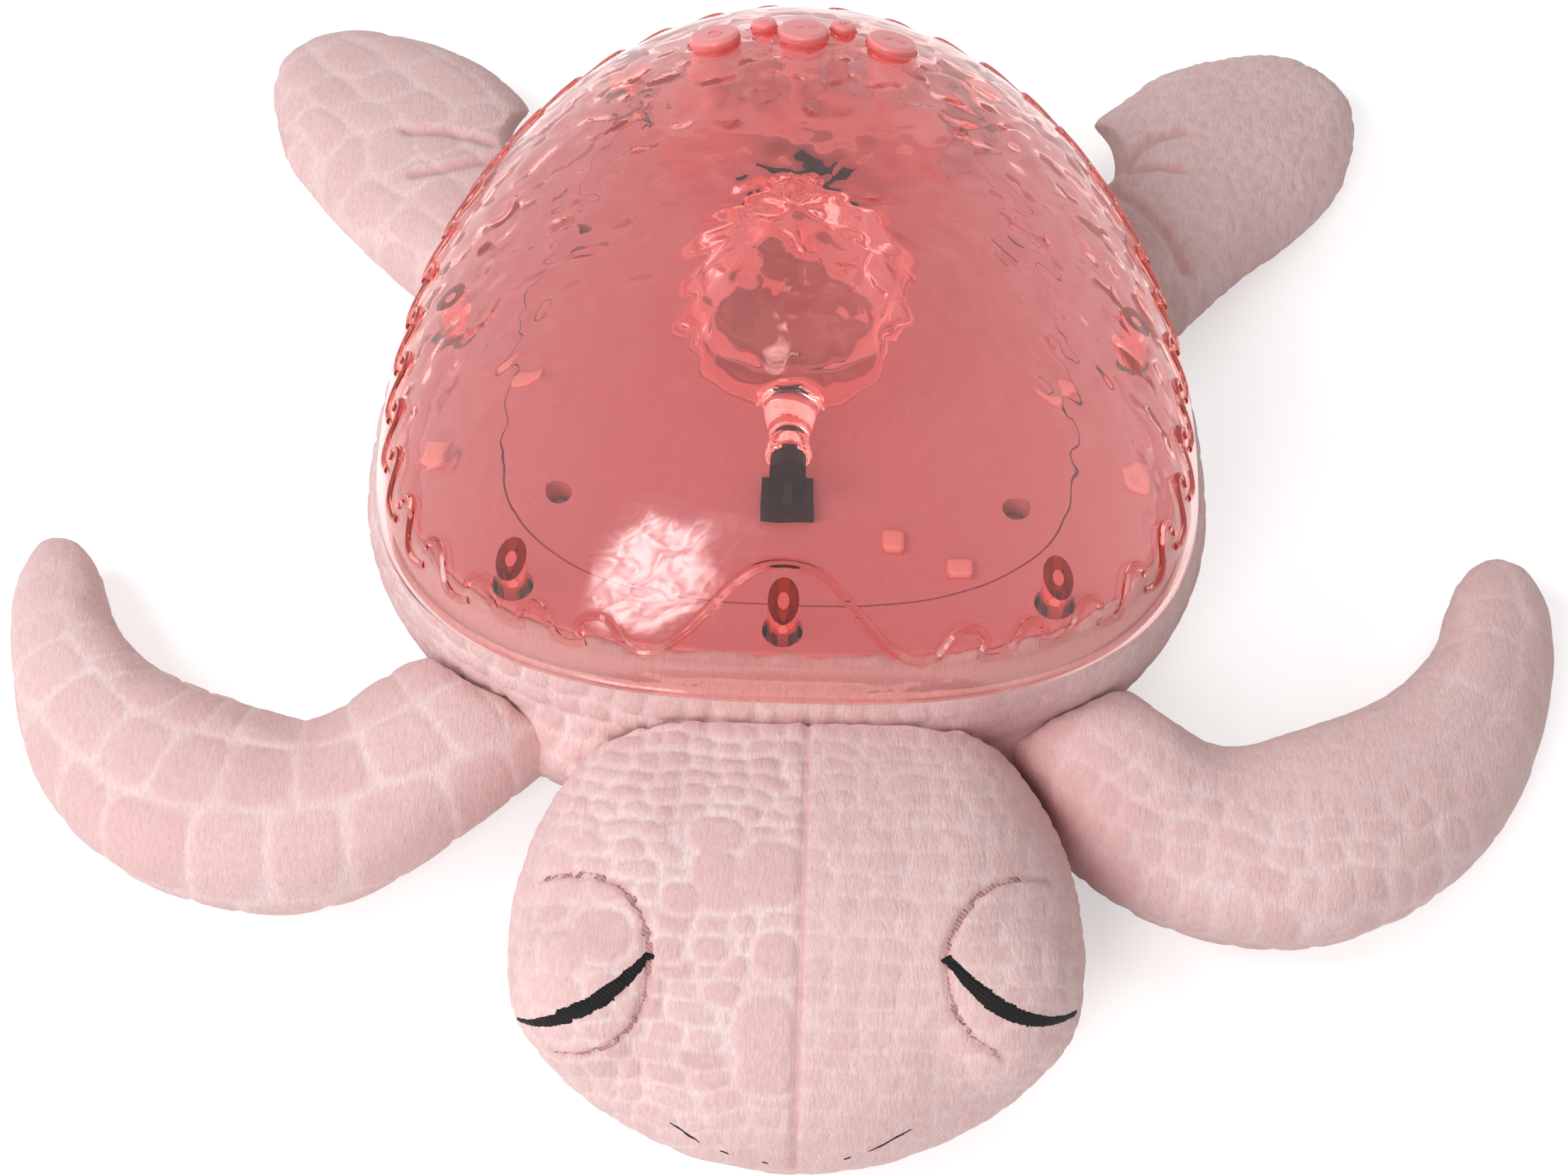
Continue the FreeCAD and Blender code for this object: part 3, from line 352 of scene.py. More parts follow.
def mouldedMaterial(name, nodeNames, color, rough, bump, values=(), **sockets):
    # values go to the group, sockets to the shader
    material, tree, shader = groupMaterial(name, mouldedGroup, {
        "Base Color": color, "Roughness": rough, **dict(values)}, bump, 0.1 * mm)
    setSockets(tree, shader, {label.replace("_", " "): value for label, value in sockets.items()})
    for nodeName in nodeNames:
        paint(nodes[nodeName], material)
    return material


def clearMaterial(name, nodeName, values):
    # clear plastic: the colour builds up with the thickness, light for what is under it passes
    # through, and a ray that is caught inside ends in a painted glow of the plastic's own colour
    material, tree, shader = newMaterial(name)
    path = addNode(tree, "LightPath").outputs
    hidden = addMath(tree, "MAXIMUM", path["Is Shadow Ray"], path["Is Diffuse Ray"])
    passed = addMath(tree, "MULTIPLY", hidden, values["shadowPass"])
    # a ray caught inside the plastic ends in a painted glow: an emission in the glow colour
    caught = addMath(tree, "GREATER_THAN", path["Ray Depth"], values["caughtAfter"])
    setSockets(tree, shader, {
        "Roughness": 0.015, "IOR": 1.49, "Transmission Weight": 1.0,
        # the thick mark deepens the colour: partly thicker plastic, partly painted shade along the
        # rim and the beads
        "Base Color": addBlend(tree, addMark(tree, "thick"), values["tint"], values["thickAndShadeTint"]),
        "Alpha": addMath(tree, "SUBTRACT", 1.0, passed), "Emission Color": values["glowColor"],
        "Emission Strength": addMath(tree, "MULTIPLY", caught, values["glow"])})
    absorb = addNode(tree, "VolumeAbsorption", {"Color": values["dense"],
                                                "Density": values["density"]})
    feed(tree, tree.nodes["Material Output"].inputs["Volume"], absorb.outputs[0])
    paint(nodes[nodeName], material)
    return material


plushValues = {"Cell Color": (0.84, 0.59, 0.585), "Valley Color": (0.945, 0.775, 0.765),
               "Shadow Color": (0.62, 0.29, 0.285), "Fuzz Scale": 1500.0, "Blotch": 0.35}
plush = plushMaterial("plushPink", plushValues)
plushShaded = plushMaterial("plushShaded", {**plushValues, "Cell Color": (0.66, 0.39, 0.375),
                                            "Valley Color": (0.72, 0.46, 0.445)})
# moulded finishes: the CAD nodes that have them, colour, roughness and bump, then what differs
mouldedMaterial("deckPink", ["deck", "mechanism_cover"], (0.72, 0.212, 0.228), 0.28, 0.03,
                {"Cloud": 0.08, "Dust": 0.05})
mouldedMaterial("pedestalPink", ["button_pedestal", "lens_rear_bracket"], (0.84, 0.27, 0.27),
                0.25, 0.03)
tabPink = mouldedMaterial("tabPink", [], (0.98, 0.33, 0.30), 0.3, 0.03)
buttonNodes = [f"big_button_{word}" for word in ("left", "centre", "right")]
buttonNodes += [f"small_button_{word}" for word in ("left", "right")]
buttonPink = mouldedMaterial("buttonPink", buttonNodes, (0.98, 0.27, 0.275), 0.32, 0.06,
                             {"Cloud": 0.1}, Subsurface_Weight=0.15, Coat_Weight=0.15)
mouldedMaterial("whitePlastic", ["lower_housing", "battery_door", "drive_frame"],
                (0.78, 0.75, 0.72), 0.45, 0.12)
mouldedMaterial("gearWhite", ["crank_gear", "idler_gear", "motor_pinion"], (0.8, 0.79, 0.74),
                0.4, 0.08)
mouldedMaterial("reflectorPink", ["reflector"], (0.46, 0.120, 0.120), 0.14, 0.02)
mouldedMaterial("blackPlastic", ["lens_front_bracket", "rocker_arm", "front_pivot_pin"],
                (0.018, 0.008, 0.010), 0.42, 0.02, {"Dust": 0.02}, Specular_IOR_Level=0.25)
mouldedMaterial("platedSteel", ["shell_screws", "cover_screws", "bracket_screws",
                                "battery_door_screw", "gear_axles", "motor_shaft"],
                (0.55, 0.52, 0.5), 0.3, 0.08, {"Cloud": 0.2}, Metallic=1.0)
mouldedMaterial("motorCan", ["drive_motor", "speaker"], (0.6, 0.59, 0.58), 0.36, 0.1,
                {"Cloud": 0.15}, Metallic=1.0)
mouldedMaterial("boardGreen", ["control_board", "main_board", "lamp_board"],
                (0.02, 0.10, 0.045), 0.3, 0.1)
mouldedMaterial("componentBlack", ["main_board_parts", "push_switches"], (0.02, 0.02, 0.022),
                0.5, 0.2)
mouldedMaterial("lampResin", ["lamp"], (0.9, 0.8, 0.45), 0.12, 0.02, Coat_Weight=0.6)
mouldedMaterial("heatSinkMetal", ["heat_sink"], (0.72, 0.72, 0.73), 0.42, 0.15, Metallic=1.0)
mouldedMaterial("cellSleeve", ["batteries"], (0.05, 0.055, 0.075), 0.3, 0.04, Coat_Weight=0.3)
mouldedMaterial("contactMetal", ["battery_contacts"], (0.7, 0.68, 0.62), 0.25, 0.05,
                Metallic=1.0)
mouldedMaterial("conePaper", ["speaker_cone"], (0.02, 0.02, 0.022), 0.85, 0.5,
                {"Grain Scale": 2200.0})
clearPink = clearMaterial("clearPink", "shell", {
    "tint": (0.965, 0.80, 0.79), "thickAndShadeTint": (0.88, 0.42, 0.37), "dense": (0.96, 0.26, 0.20),
    "density": 48.0, "shadowPass": 0.72, "glowColor": (0.46, 0.070, 0.040), "glow": 0.8,
    "caughtAfter": 5.5})
clearLens = clearMaterial("clearLens", "ripple_lens", {
    "tint": (0.985, 0.93, 0.92), "thickAndShadeTint": (0.985, 0.93, 0.92), "dense": (0.95, 0.52, 0.49),
    "density": 14.0, "shadowPass": 0.85, "glowColor": (0.34, 0.085, 0.075), "glow": 0.8,
    "caughtAfter": 6.5})
say("materials")


# Stuffed pieces: each starts from the space its solid fills, the head and flippers are puffed up
# as cloth, then each gets its embossed cells

puffing = {"voxel": 4.5 * mm, "pressure": 4.0, "stretch": 30.0, "bend": 0.6, "frames": 16,
           "limit": 1.6 * mm, "start": 0.4 * mm, "lowest": 0.3 * mm}


def remesh(piece, voxel):
    even = piece.modifiers.new("evenMesh", "REMESH")
    even.mode = "VOXEL"
    even.voxel_size = voxel
    even.use_smooth_shade = True


def puffUp(piece):
    remesh(piece, puffing["voxel"])
    applyModifiers(piece)
    mesh = piece.data
    rest = [vertex.co.copy() for vertex in mesh.vertices]
    for vertex in mesh.vertices:
        vertex.co = vertex.co - vertex.normal * puffing["start"]
    cloth = piece.modifiers.new("puff", "CLOTH")
    cloth.settings.use_pressure = True
    cloth.settings.uniform_pressure_force = puffing["pressure"]
    cloth.settings.effector_weights.gravity = 0.0
    cloth.settings.tension_stiffness = puffing["stretch"]
    cloth.settings.compression_stiffness = puffing["stretch"]
    cloth.settings.bending_stiffness = puffing["bend"]
    cloth.point_cache.frame_start = 1
    cloth.point_cache.frame_end = puffing["frames"]
    for step in range(1, puffing["frames"] + 1):
        scene.frame_set(step)
    applyModifiers(piece)
    scene.frame_set(1)
    for vertex, start in zip(mesh.vertices, rest):
        move = vertex.co - start
        if move.length > puffing["limit"]:
            vertex.co = start + move.normalized() * puffing["limit"]
        vertex.co.z = max(vertex.co.z, puffing["lowest"])


def stuffed(nodeName, pieceName):
    piece = copyOfNode(nodeName, pieceName)
    puffUp(piece)
    return piece


def refine(piece, settings):
    remesh(piece, settings["voxel"])
    relax = piece.modifiers.new("relax", "SMOOTH")
    relax.factor = 0.5
    relax.iterations = settings["rounds"]
    applyModifiers(piece)


def cellPattern(row, length, valley, **others):
    # in millimetres; others are the corners' roundness, the seed and how far the rows wobble
    return {"row": row * mm, "length": length * mm, "valley": valley * mm, **others}


def ovalDepth(offU, offV, halfU, halfV, power):
    # how far inside a rounded cell the place lies, less than zero outside it
    across = ((abs(offU) / halfU) ** power + (abs(offV) / halfV) ** power) ** (1 / power)
    return (1 - across) * min(halfU, halfV)


# how uneven the cells are: bend is a wobble's length in rows, the rest are shares of a cell
uneven = {"bend": 2.3, "push": 1.6, "length": 0.18, "shift": 0.3, "edge": 0.22}


def brickCell(u, v, cell):
    # how far in from the nearest edge of its cell the place lies, and the cell's own tone
    size, seed = cell["row"], cell["seed"]
    wobble = cell["wobble"] * size
    across, along = u / size / uneven["bend"], v / size / uneven["bend"]
    u += wobble * noise.noise(Vector((across, along, seed))) * uneven["push"]
    v += wobble * noise.noise(Vector((across, along, seed + 7.7))) * uneven["push"]
    row = math.floor(v / size)

    def chance(x, y, z):
        return noise.cell(Vector((x + 0.5, y + 0.5, z + 0.5)))

    def edgeAt(k):
        return k + uneven["edge"] * chance(k, row, seed + 11)

    length = cell["length"] * (1 + uneven["length"] * chance(row, seed, 0))
    shift = (0.5 * (row % 2) + uneven["shift"] * chance(seed, row, 3)) * length
    along = (u + shift) / length
    k = math.floor(along)
    if along < edgeAt(k):
        k -= 1
    elif along >= edgeAt(k + 1):
        k += 1
    low, high = edgeAt(k) * length, edgeAt(k + 1) * length
    inside = ovalDepth(u + shift - (low + high) / 2, v - (row + 0.5) * size, (high - low) / 2,
                       size / 2, cell["round"])
    return inside, 0.5 + 0.5 * chance(k, row, seed + 23)


# painted reddish shade where the pieces meet: place, reach and strength in millimetres
paintedShadeSpots = [((66, -106, 25), 40, 1.0), ((-62, -110, 22), 24, 0.4), ((58, -84, 42), 26, 0.8),
              ((100, 52, 40), 30, 0.7), ((86, 88, 40), 28, 0.5)]


def paintedShadeAt(place):
    spot = place / mm
    return max(strength * (1 - smooth((spot - Vector(middle)).length, 0.25 * reach, reach))
               for middle, reach, strength in paintedShadeSpots)


# how the cells bulge: shares of the steep edge and the slow crown, and the grain of the pile
bulge = {"edge": 0.75, "crown": 0.25, "grain": 0.06, "grainSize": 1.6 * mm,
         "patchTone": 0.6, "patchGap": 0.6 * mm, "patchReach": 8 * mm}


def emboss(piece, settings, chart, seams=None):
    # chart gives the pattern's own two lengths, the cell sizes and the strength at a place
    cellMarks, seamAndShadeMarks, toneMarks = (
        piece.data.attributes.new(word, "FLOAT", "POINT") for word in ("cell", "seamAndShade", "tone"))

    def rule(i, place, normal):
        u, v, cell, strength = chart(place)
        inside, tone = brickCell(u, v, cell)
        patch = cell.get("patch", -1.0)
        if patch > 0:
            inside, tone = patch, bulge["patchTone"]
        elif patch > -bulge["patchReach"]:
            inside = min(inside, -patch - bulge["patchGap"])
        rise = smooth(inside, 0.0, cell["valley"])
        crown = smooth(inside, 0.0, cell["row"] * 0.5)
        level = strength * (bulge["edge"] * rise + bulge["crown"] * crown - 1.0)
        crease = seams(place) if seams else 0.0
        cellMarks.data[i].value = 1.0 - strength * (1.0 - rise)
        toneMarks.data[i].value = tone * strength
        # the seam mark also carries painted shade where the pieces meet
        seamAndShadeMarks.data[i].value = max(crease, paintedShadeAt(place))
        return level * settings["depth"] - crease * settings.get("crease", 0.0) + (
            noise.noise(place / bulge["grainSize"]) * bulge["grain"] * mm)

    moveAlongNormals(piece, rule)


def finishPlush(piece, nodeName):
    paint(piece, plush)
    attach(piece, "turtle")
    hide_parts(nodeName)


# Front flippers: they bend round a circle, so the cells follow its radius and angle

frontFlipper = {
    "centre": (125 * mm, -28 * mm), "radius": 66 * mm, "voxel": 1.05 * mm, "rounds": 4,
    "depth": 0.75 * mm, "belly": 20 * mm,
    "left": cellPattern(18.0, 14.5, 1.7, round=4.2, seed=3, wobble=0.22),
    "rightRoot": cellPattern(16.0, 19.0, 2.0, round=4.2, seed=3, wobble=0.22),
    "right": cellPattern(6.8, 7.8, 1.2, round=2.8, seed=5, wobble=0.35)}


def frontChart(place):
    centreX, centreY = frontFlipper["centre"]
    dx, dy = abs(place.x) - centreX, place.y - centreY
    turn = math.atan2(dy, dx)
    out = math.hypot(dx, dy) - frontFlipper["radius"]
    u = turn * frontFlipper["radius"]
    v = out + math.copysign(max(0.0, frontFlipper["belly"] - place.z), out)
    if place.x < 0:
        return u, v + 4 * mm, frontFlipper["left"], 0.85 - 0.5 * smooth(turn, -0.9, 0.0)
    if turn > -0.65:
        return u, v, frontFlipper["rightRoot"], 0.45
    outer = smooth(out, -6 * mm, 14 * mm) * (1 - smooth(turn, -1.1, -0.65))
    return u, v, frontFlipper["right"], 0.16 + 0.5 * outer


def makeFrontFlipper(word):
    name = "front_flipper_" + word
    piece = stuffed(name, "frontFlipper" + word.capitalize())
    refine(piece, frontFlipper)
    emboss(piece, frontFlipper, frontChart)
    finishPlush(piece, name)


# Rear flippers: straight paddles

rearFlipper = {
    "root": (66 * mm, 64 * mm), "tip": (150 * mm, 180 * mm), "voxel": 1.1 * mm, "rounds": 14,
    "depth": 0.85 * mm, "crease": 1.5 * mm, "belly": 16 * mm, "foldAbove": 22 * mm,
    "foldWidth": 3.4, "left": cellPattern(13.0, 17.0, 1.5, round=3.4, seed=8, wobble=0.4),
    "right": cellPattern(4.2, 9.0, 1.4, round=4.0, seed=9, wobble=0.6)}
# the wrist is drawn in beside the shell, and folds run from there across the paddle
wristNotches = {"left": (-73.2, 123.8), "right": (81.4, 124.5), "radius": 11.0, "height": 35,
                "lean": 37.0}
wristFolds = {
    "left": [[(-84.8, 114.6), (-92.9, 111.0), (-100.8, 108.3), (-107, 107.2)],
             [(-86.8, 121.8), (-94.0, 124.7), (-102.3, 126.0), (-110.7, 126.9)]],
    "right": [[(92.3, 119.5), (95.5, 127.7), (101.0, 133.7), (109.4, 137.4)],
              [(87.3, 109.6), (95.2, 100.5), (101.9, 91.4), (107.2, 79.3)],
              [(93.4, 117.9), (100.5, 119.8), (107.5, 119.4)]]}


def rearChart(place):
    (rootX, rootY), (tipX, tipY) = rearFlipper["root"], rearFlipper["tip"]
    length = math.hypot(tipX - rootX, tipY - rootY)
    along = ((tipX - rootX) / length, (tipY - rootY) / length)
    dx, dy = abs(place.x) - rootX, place.y - rootY
    u = dx * along[0] + dy * along[1]
    v = -dx * along[1] + dy * along[0]
    v += math.copysign(max(0.0, rearFlipper["belly"] - place.z), v)
    if place.x < 0:
        return u, v, rearFlipper["left"], 0.6
    return u * 0.9 + v * 0.4, v - u * 0.35, rearFlipper["right"], 0.45


def rearFolds(word):
    lines = [[Vector((*point, 0)) for point in line] for line in wristFolds[word]]

    def folds(place):
        if place.z < rearFlipper["foldAbove"]:
            return 0.0
        spot = Vector((place.x, place.y, 0)) / mm
        return max(1.0 - smooth(awayFromLine(spot, line), 0.2, rearFlipper["foldWidth"])
                   for line in lines)
    return folds


def makeRearFlipper(word):
    name = "rear_flipper_" + word
    piece = stuffed(name, "rearFlipper" + word.capitalize())
    x, y = wristNotches[word]
    deselectAll()
    bpy.ops.mesh.primitive_cylinder_add(
        vertices=48, radius=wristNotches["radius"] * mm, depth=200 * mm,
        location=(x * mm, y * mm, wristNotches["height"] * mm),
        rotation=(math.radians(wristNotches["lean"]), 0, 0))
    combine(piece, bpy.context.active_object, "DIFFERENCE")
    refine(piece, rearFlipper)
    emboss(piece, rearFlipper, rearChart, rearFolds(word))
    finishPlush(piece, name)


# Body: the stuffed ring under the shell

# fuller are places that are pressed outwards beside the head: middle, reach and push
bodyRing = {
    "voxel": 1.15 * mm, "rounds": 3, "depth": 0.85 * mm, "around": 112 * mm, "belly": 2 * mm,
    "hem": (56 * mm, 59 * mm), "faded": (10 * mm, 50 * mm), "fadedBy": 0.45,
    "fuller": [((-51, -77, 18), 27, (-3.5, -9.0, 0)), ((58, -77, 18), 23, (3, -5, 0))],
    "cells": cellPattern(6.4, 8.8, 1.15, round=3.0, seed=12, wobble=0.25)}


def bodyChart(place):
    turn = math.atan2(place.x, -place.y)
    v = place.z + (math.hypot(place.x, place.y) if place.z < bodyRing["belly"] else 0.0)
    strength = 1.0 - bodyRing["fadedBy"] * smooth(place.x, *bodyRing["faded"])
    strength *= 1.0 - smooth(place.z, *bodyRing["hem"])
    return turn * bodyRing["around"], v, bodyRing["cells"], strength


def pressOut(piece, spots):
    for vertex in piece.data.vertices:
        spot = vertex.co / mm
        for middle, reach, push in spots:
            share = 1 - smooth((spot - Vector(middle)).length, 0.25 * reach, reach)
            vertex.co = vertex.co + Vector(push) * (share * mm)


def makeBody():
    piece = copyOfNode("plush_body", "plushBody")
    refine(piece, bodyRing)
    pressOut(piece, bodyRing["fuller"])
    emboss(piece, bodyRing, bodyChart)
    finishPlush(piece, "plush_body")


# Head: cells in rows with a few large ones, a seam down the middle and one round each eye mound

head = {"voxel": 0.95 * mm, "rounds": 5, "depth": 0.62 * mm, "crease": 1.0 * mm, "seamX": 7.0,
        "small": cellPattern(4.8, 7.0, 0.9, round=2.8, seed=15, wobble=0.3),
        "large": cellPattern(6.4, 9.8, 1.0, round=2.8, seed=16, wobble=0.3)}
# middle, width and height of the largest cells, on the left of the middle seam
largeCells = [
    (-1.1, -138.2, 62.9, 16, 16), (-14, -127.9, 63, 14, 9), (-14, -137.7, 62.2, 11.5, 11),
    (-11.7, -144.3, 61.2, 13, 7), (-21.6, -144.1, 60.2, 10, 8), (0.8, -157.4, 57.4, 11, 12),
    (-14.5, -155.9, 57.1, 9, 6.5), (-24.3, -155.8, 56.2, 8, 6.5), (-1.1, -172.4, 48.1, 15, 19),
    (-0.3, -180, 41.1, 15, 10), (-39.8, -152.4, 55.9, 14, 13), (-49.1, -156, 53.3, 11, 11),
    (-50.5, -163.6, 49.0, 13, 9)]
eyeSeams = [
    [(-55, -131.8, 47.9), (-48, -134, 54), (-41.9, -136.6, 57.3), (-37.6, -138.9, 58.7),
     (-33.2, -143.4, 59), (-30.5, -147.8, 58.5), (-29, -152.7, 57.1), (-28.4, -156.5, 55.6),
     (-28.6, -161.7, 53), (-29.2, -166.6, 50.2), (-31.1, -170.8, 47.4), (-34.2, -174, 44.6),
     (-39.9, -175.9, 41.3), (-45.8, -175.5, 38.5), (-50.1, -173.9, 36.7)],
    [(66.4, -128.1, 48.4), (59.1, -131.2, 54.6), (53.9, -134.4, 57.5), (49.6, -137.9, 58.8),
     (46.3, -142.1, 59), (43.4, -146.7, 58.5), (41.4, -151.9, 57.3), (40.5, -155.1, 56.2),
     (40.9, -159.5, 54.1), (42.1, -164.7, 51.7), (44.3, -169, 49.5), (48.6, -172.8, 46.6),
     (55.4, -174.6, 42.9)]]


def headFlat(x, y, z):
    x -= head["seamX"]
    drop = max(0.0, 42 - z)
    return x + math.copysign(drop * smooth(abs(x), 35, 60), x), -y - 0.75 * z


largeSpots = [(headFlat(x, y, z), width, height) for x, y, z, width, height in largeCells]


def largeCell(u, v):
    # how far inside the nearest of the large cells, less than zero outside them
    return max(ovalDepth(u - cu, v - cv, width / 2, height * 0.6, 2.6)
               for (cu, cv), width, height in largeSpots)


def headChart(place):
    x, y, z = place / mm
    u, v = headFlat(x, y, z)
    cell = dict(head["large" if smooth(-y, 103, 158) > 0.35 else "small"])
    nose = -y - z * 0.5
    if x < head["seamX"]:
        cell["patch"] = largeCell(u, v) * mm
        strength = 1.0 - 0.45 * smooth(-u, 46, 62) - 0.5 * smooth(nose, 158, 176)
    else:
        strength = 0.5 - 0.2 * smooth(nose, 150, 172)
    return u * mm, v * mm, cell, max(0.2, strength)


seamLines = [[Vector(point) for point in line] for line in eyeSeams]


def headSeams(place):
    spot = place / mm
    aside = spot.x - head["seamX"]
    middle = 0.0 if spot.z < 12 else 1.0 - smooth(abs(aside), 0.3, 1.4)
    eyes = 0.0
    if spot.y < -124 and spot.z > 25 and abs(aside) > 30:
        eyes = 1.0 - smooth(awayFromLine(spot, seamLines[0 if aside < 0 else 1]), 0.4, 1.8)
    return max(middle * 0.8, eyes * 0.75)


def makeHead():
    piece = stuffed("head", "plushHead")
    refine(piece, head)
    emboss(piece, head, headChart, headSeams)
    finishPlush(piece, "head")
    return piece


# Hem: the pile that stands up between the shell's edge and the deck

rim = {"half": 104.5, "front": 77.0, "rear": 154.0, "centreY": -9.7, "frontPower": 2.65,
       "rearPower": 2.0, "z": 59.0}
hem = {"foot": 59.6, "top": 68.4, "steps": 420, "fuzz": 1.1, "clumps": 7.0, "tufts": 2.4,
       "profile": [(3.4, 0.0), (3.9, 0.35), (4.9, 0.75), (5.6, 0.97), (6.4, 1.06), (7.6, 1.08),
                   (8.2, 1.02), (7.0, 0.9), (6.9, 0.4), (6.9, 0.0)]}


def rimReach(angle):
    c, s = abs(math.cos(angle)), math.sin(angle)
    length, power = (rim["rear"], rim["rearPower"]) if s >= 0 else (
        rim["front"], rim["frontPower"])
    return ((c / rim["half"]) ** power + (abs(s) / length) ** power) ** (-1 / power)


def makeHem():
    columns, rows = hem["steps"], len(hem["profile"])
    piece = newGrid("plushHem", columns, rows)
    for i, vertex in enumerate(piece.data.vertices):
        angle = 2 * math.pi * (i % (columns + 1)) / columns
        inset, share = hem["profile"][(i // (columns + 1)) % rows]
        reach = rimReach(angle) - inset
        place = Vector((reach * math.cos(angle), rim["centreY"] + reach * math.sin(angle),
                        hem["foot"] + share * (hem["top"] - hem["foot"])))
        tuft = 1.4 * noise.noise(place / hem["clumps"]) + noise.noise(place / hem["tufts"])
        place.z += hem["fuzz"] * tuft * smooth(share, 0.5, 1.0)
        vertex.co = place * mm
    mergeDoubles(piece, 0.01 * mm)
    bpy.ops.object.shade_smooth()
    paint(piece, plushShaded)
    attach(piece, "turtle")


makeBody()
makeHem()
say("body")
plushHead = makeHead()
say("head")
for make in (makeFrontFlipper, makeRearFlipper):
    for word in ("left", "right"):
        make(word)
say("flippers")


# Embroidery on the head: closed lids and a stitched mouth, laid on the plush, and the eye seams

lids = {"width": 4.9 * mm, "proud": 0.55 * mm, "profile": [
    0.6, 0.72, 0.85, 0.98, 1.0, 0.95, 0.85, 0.68, 0.5, 0.28], "lines": {
    "eyelidLeft": [
        (-28.2, -156.7, 55.6), (-30.8, -159.5, 54.0), (-33.9, -162.8, 53.3),
        (-37.0, -165.5, 52.5), (-40.2, -167.5, 51.2), (-44.3, -169.1, 49.2),
        (-48.4, -169.7, 46.9), (-52.6, -169.3, 43.7), (-56.6, -167.4, 39.9),
        (-59.8, -163.8, 35.5)],
    "eyelidRight": [
        (40.5, -155.1, 56.2), (43.2, -157.4, 54.8), (46.1, -160.5, 54.3), (49.8, -163.6, 53.3),
        (53.6, -165.8, 52.0), (57.4, -166.9, 50.5), (61.6, -166.9, 48.5), (66.0, -165.6, 46.1),
        (70.0, -162.8, 43.3), (72.8, -159.5, 40.4)]}}
mouth = {"width": 0.9 * mm, "proud": 0.2 * mm, "profile": [0.5, 1.0, 0.8, 1.0, 0.6], "lines": {
    "mouthLeft": [(-22.5, -184.7, 25.8), (-18.9, -186.3, 23.4), (-15.4, -187.5, 21.5)],
    "mouthLeftStitch": [(-10.6, -188.7, 19.7), (-8.5, -189.0, 19.1)],
    "mouthLeftEnd": [(-0.6, -189.4, 16.5), (0.9, -189.4, 16.2)],
    "mouthRightStitch": [(18.7, -189.2, 19.0), (20.4, -189.0, 19.9)],
    "mouthRight": [(24.4, -188.3, 21.3), (27.6, -187.3, 22.9), (30.8, -186.1, 24.7),
                   (34.3, -184.6, 26.6)]}}
seams = {"width": 0.7 * mm, "proud": 0.05 * mm, "profile": [0.3, 1.0, 1.0, 1.0, 0.3], "lines": {
    "eyeSeamLeft": eyeSeams[0], "eyeSeamRight": eyeSeams[1]}}


def curvePath(name, points):
    # points along a smooth line, as a mesh that is taken away again
    curve = newCurve(name, 18)
    addSpline(curve, [Vector(point) * mm for point in points])
    holder = meshOfCurve(curve)
    path = [vertex.co.copy() for vertex in holder.data.vertices]
    bpy.data.objects.remove(holder)
    return path


# a stitched line's rows, the raggedness of its edge, its thinnest crown and its hidden skirt
stitch = {"rows": 6, "ragged": 0.22, "raggedStep": 0.45, "thinnest": 0.4, "skirt": 0.3 * mm,
          "thick": 0.8 * mm}


def stitchedLine(name, points, settings, tree):
    path = curvePath(name, points)
    columns, rows, profile = len(path), stitch["rows"], settings["profile"]
    piece = newGrid(name, columns - 1, rows)
    for i, vertex in enumerate(piece.data.vertices):
        step = i % columns
        across = (i // columns) / rows * 2 - 1
        ahead = path[min(step + 1, columns - 1)] - path[max(step - 1, 0)]
        side = tree.find_nearest(path[step])[1].cross(ahead).normalized()
        at = step / (columns - 1) * (len(profile) - 1)
        low = min(int(at), len(profile) - 2)
        thin = profile[low] + (profile[low + 1] - profile[low]) * (at - low)
        ragged = 1 + stitch["ragged"] * noise.noise(
            Vector((step * stitch["raggedStep"], across * 2, 3.0)))
        spot = path[step] + side * (settings["width"] / 2 * thin * ragged * across)
        hit, normal = tree.find_nearest(spot)[:2]
        crown = math.sqrt(max(0.0, 1 - across * across))
        vertex.co = hit + normal * (settings["proud"] * crown * max(stitch["thinnest"], thin)
                                    - stitch["skirt"] * (1 - crown))
    thicken(piece, stitch["thick"])
    bpy.ops.object.shade_smooth()
    return piece


def threadMaterial(name, dark, light):
    material, tree, shader = newMaterial(name)
    strand = addNode(tree, "TexWave", {"Vector": addPlace(tree), "Scale": 420.0,
                                       "Distortion": 1.5},
                     wave_type="BANDS", bands_direction="DIAGONAL").outputs["Fac"]
    setSockets(tree, shader, {"Base Color": addBlend(tree, strand, dark, light),
                              "Roughness": 0.6, "Specular IOR Level": 0.25})
    addBump(tree, shader, strand, 0.6, 0.25 * mm)
    return material


blackThread = threadMaterial("blackThread", (0.002, 0.002, 0.002), (0.008, 0.006, 0.007))
seamThread = threadMaterial("seamThread", (0.42, 0.22, 0.21), (0.58, 0.34, 0.33))
headSurface = surfaceOf(plushHead)
for values, thread, slot in ((lids, blackThread, "black_plastic"),
                             (mouth, blackThread, "black_plastic"),
                             (seams, seamThread, "plush")):
    for label, points in values["lines"].items():
        line = stitchedLine(label, points, values, headSurface)
        paint(line, thread)
        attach(line, "turtle")
say("embroidery")


# Shell: the clear dome, with its hollow screw bosses, button holes, raised waves and rippled top

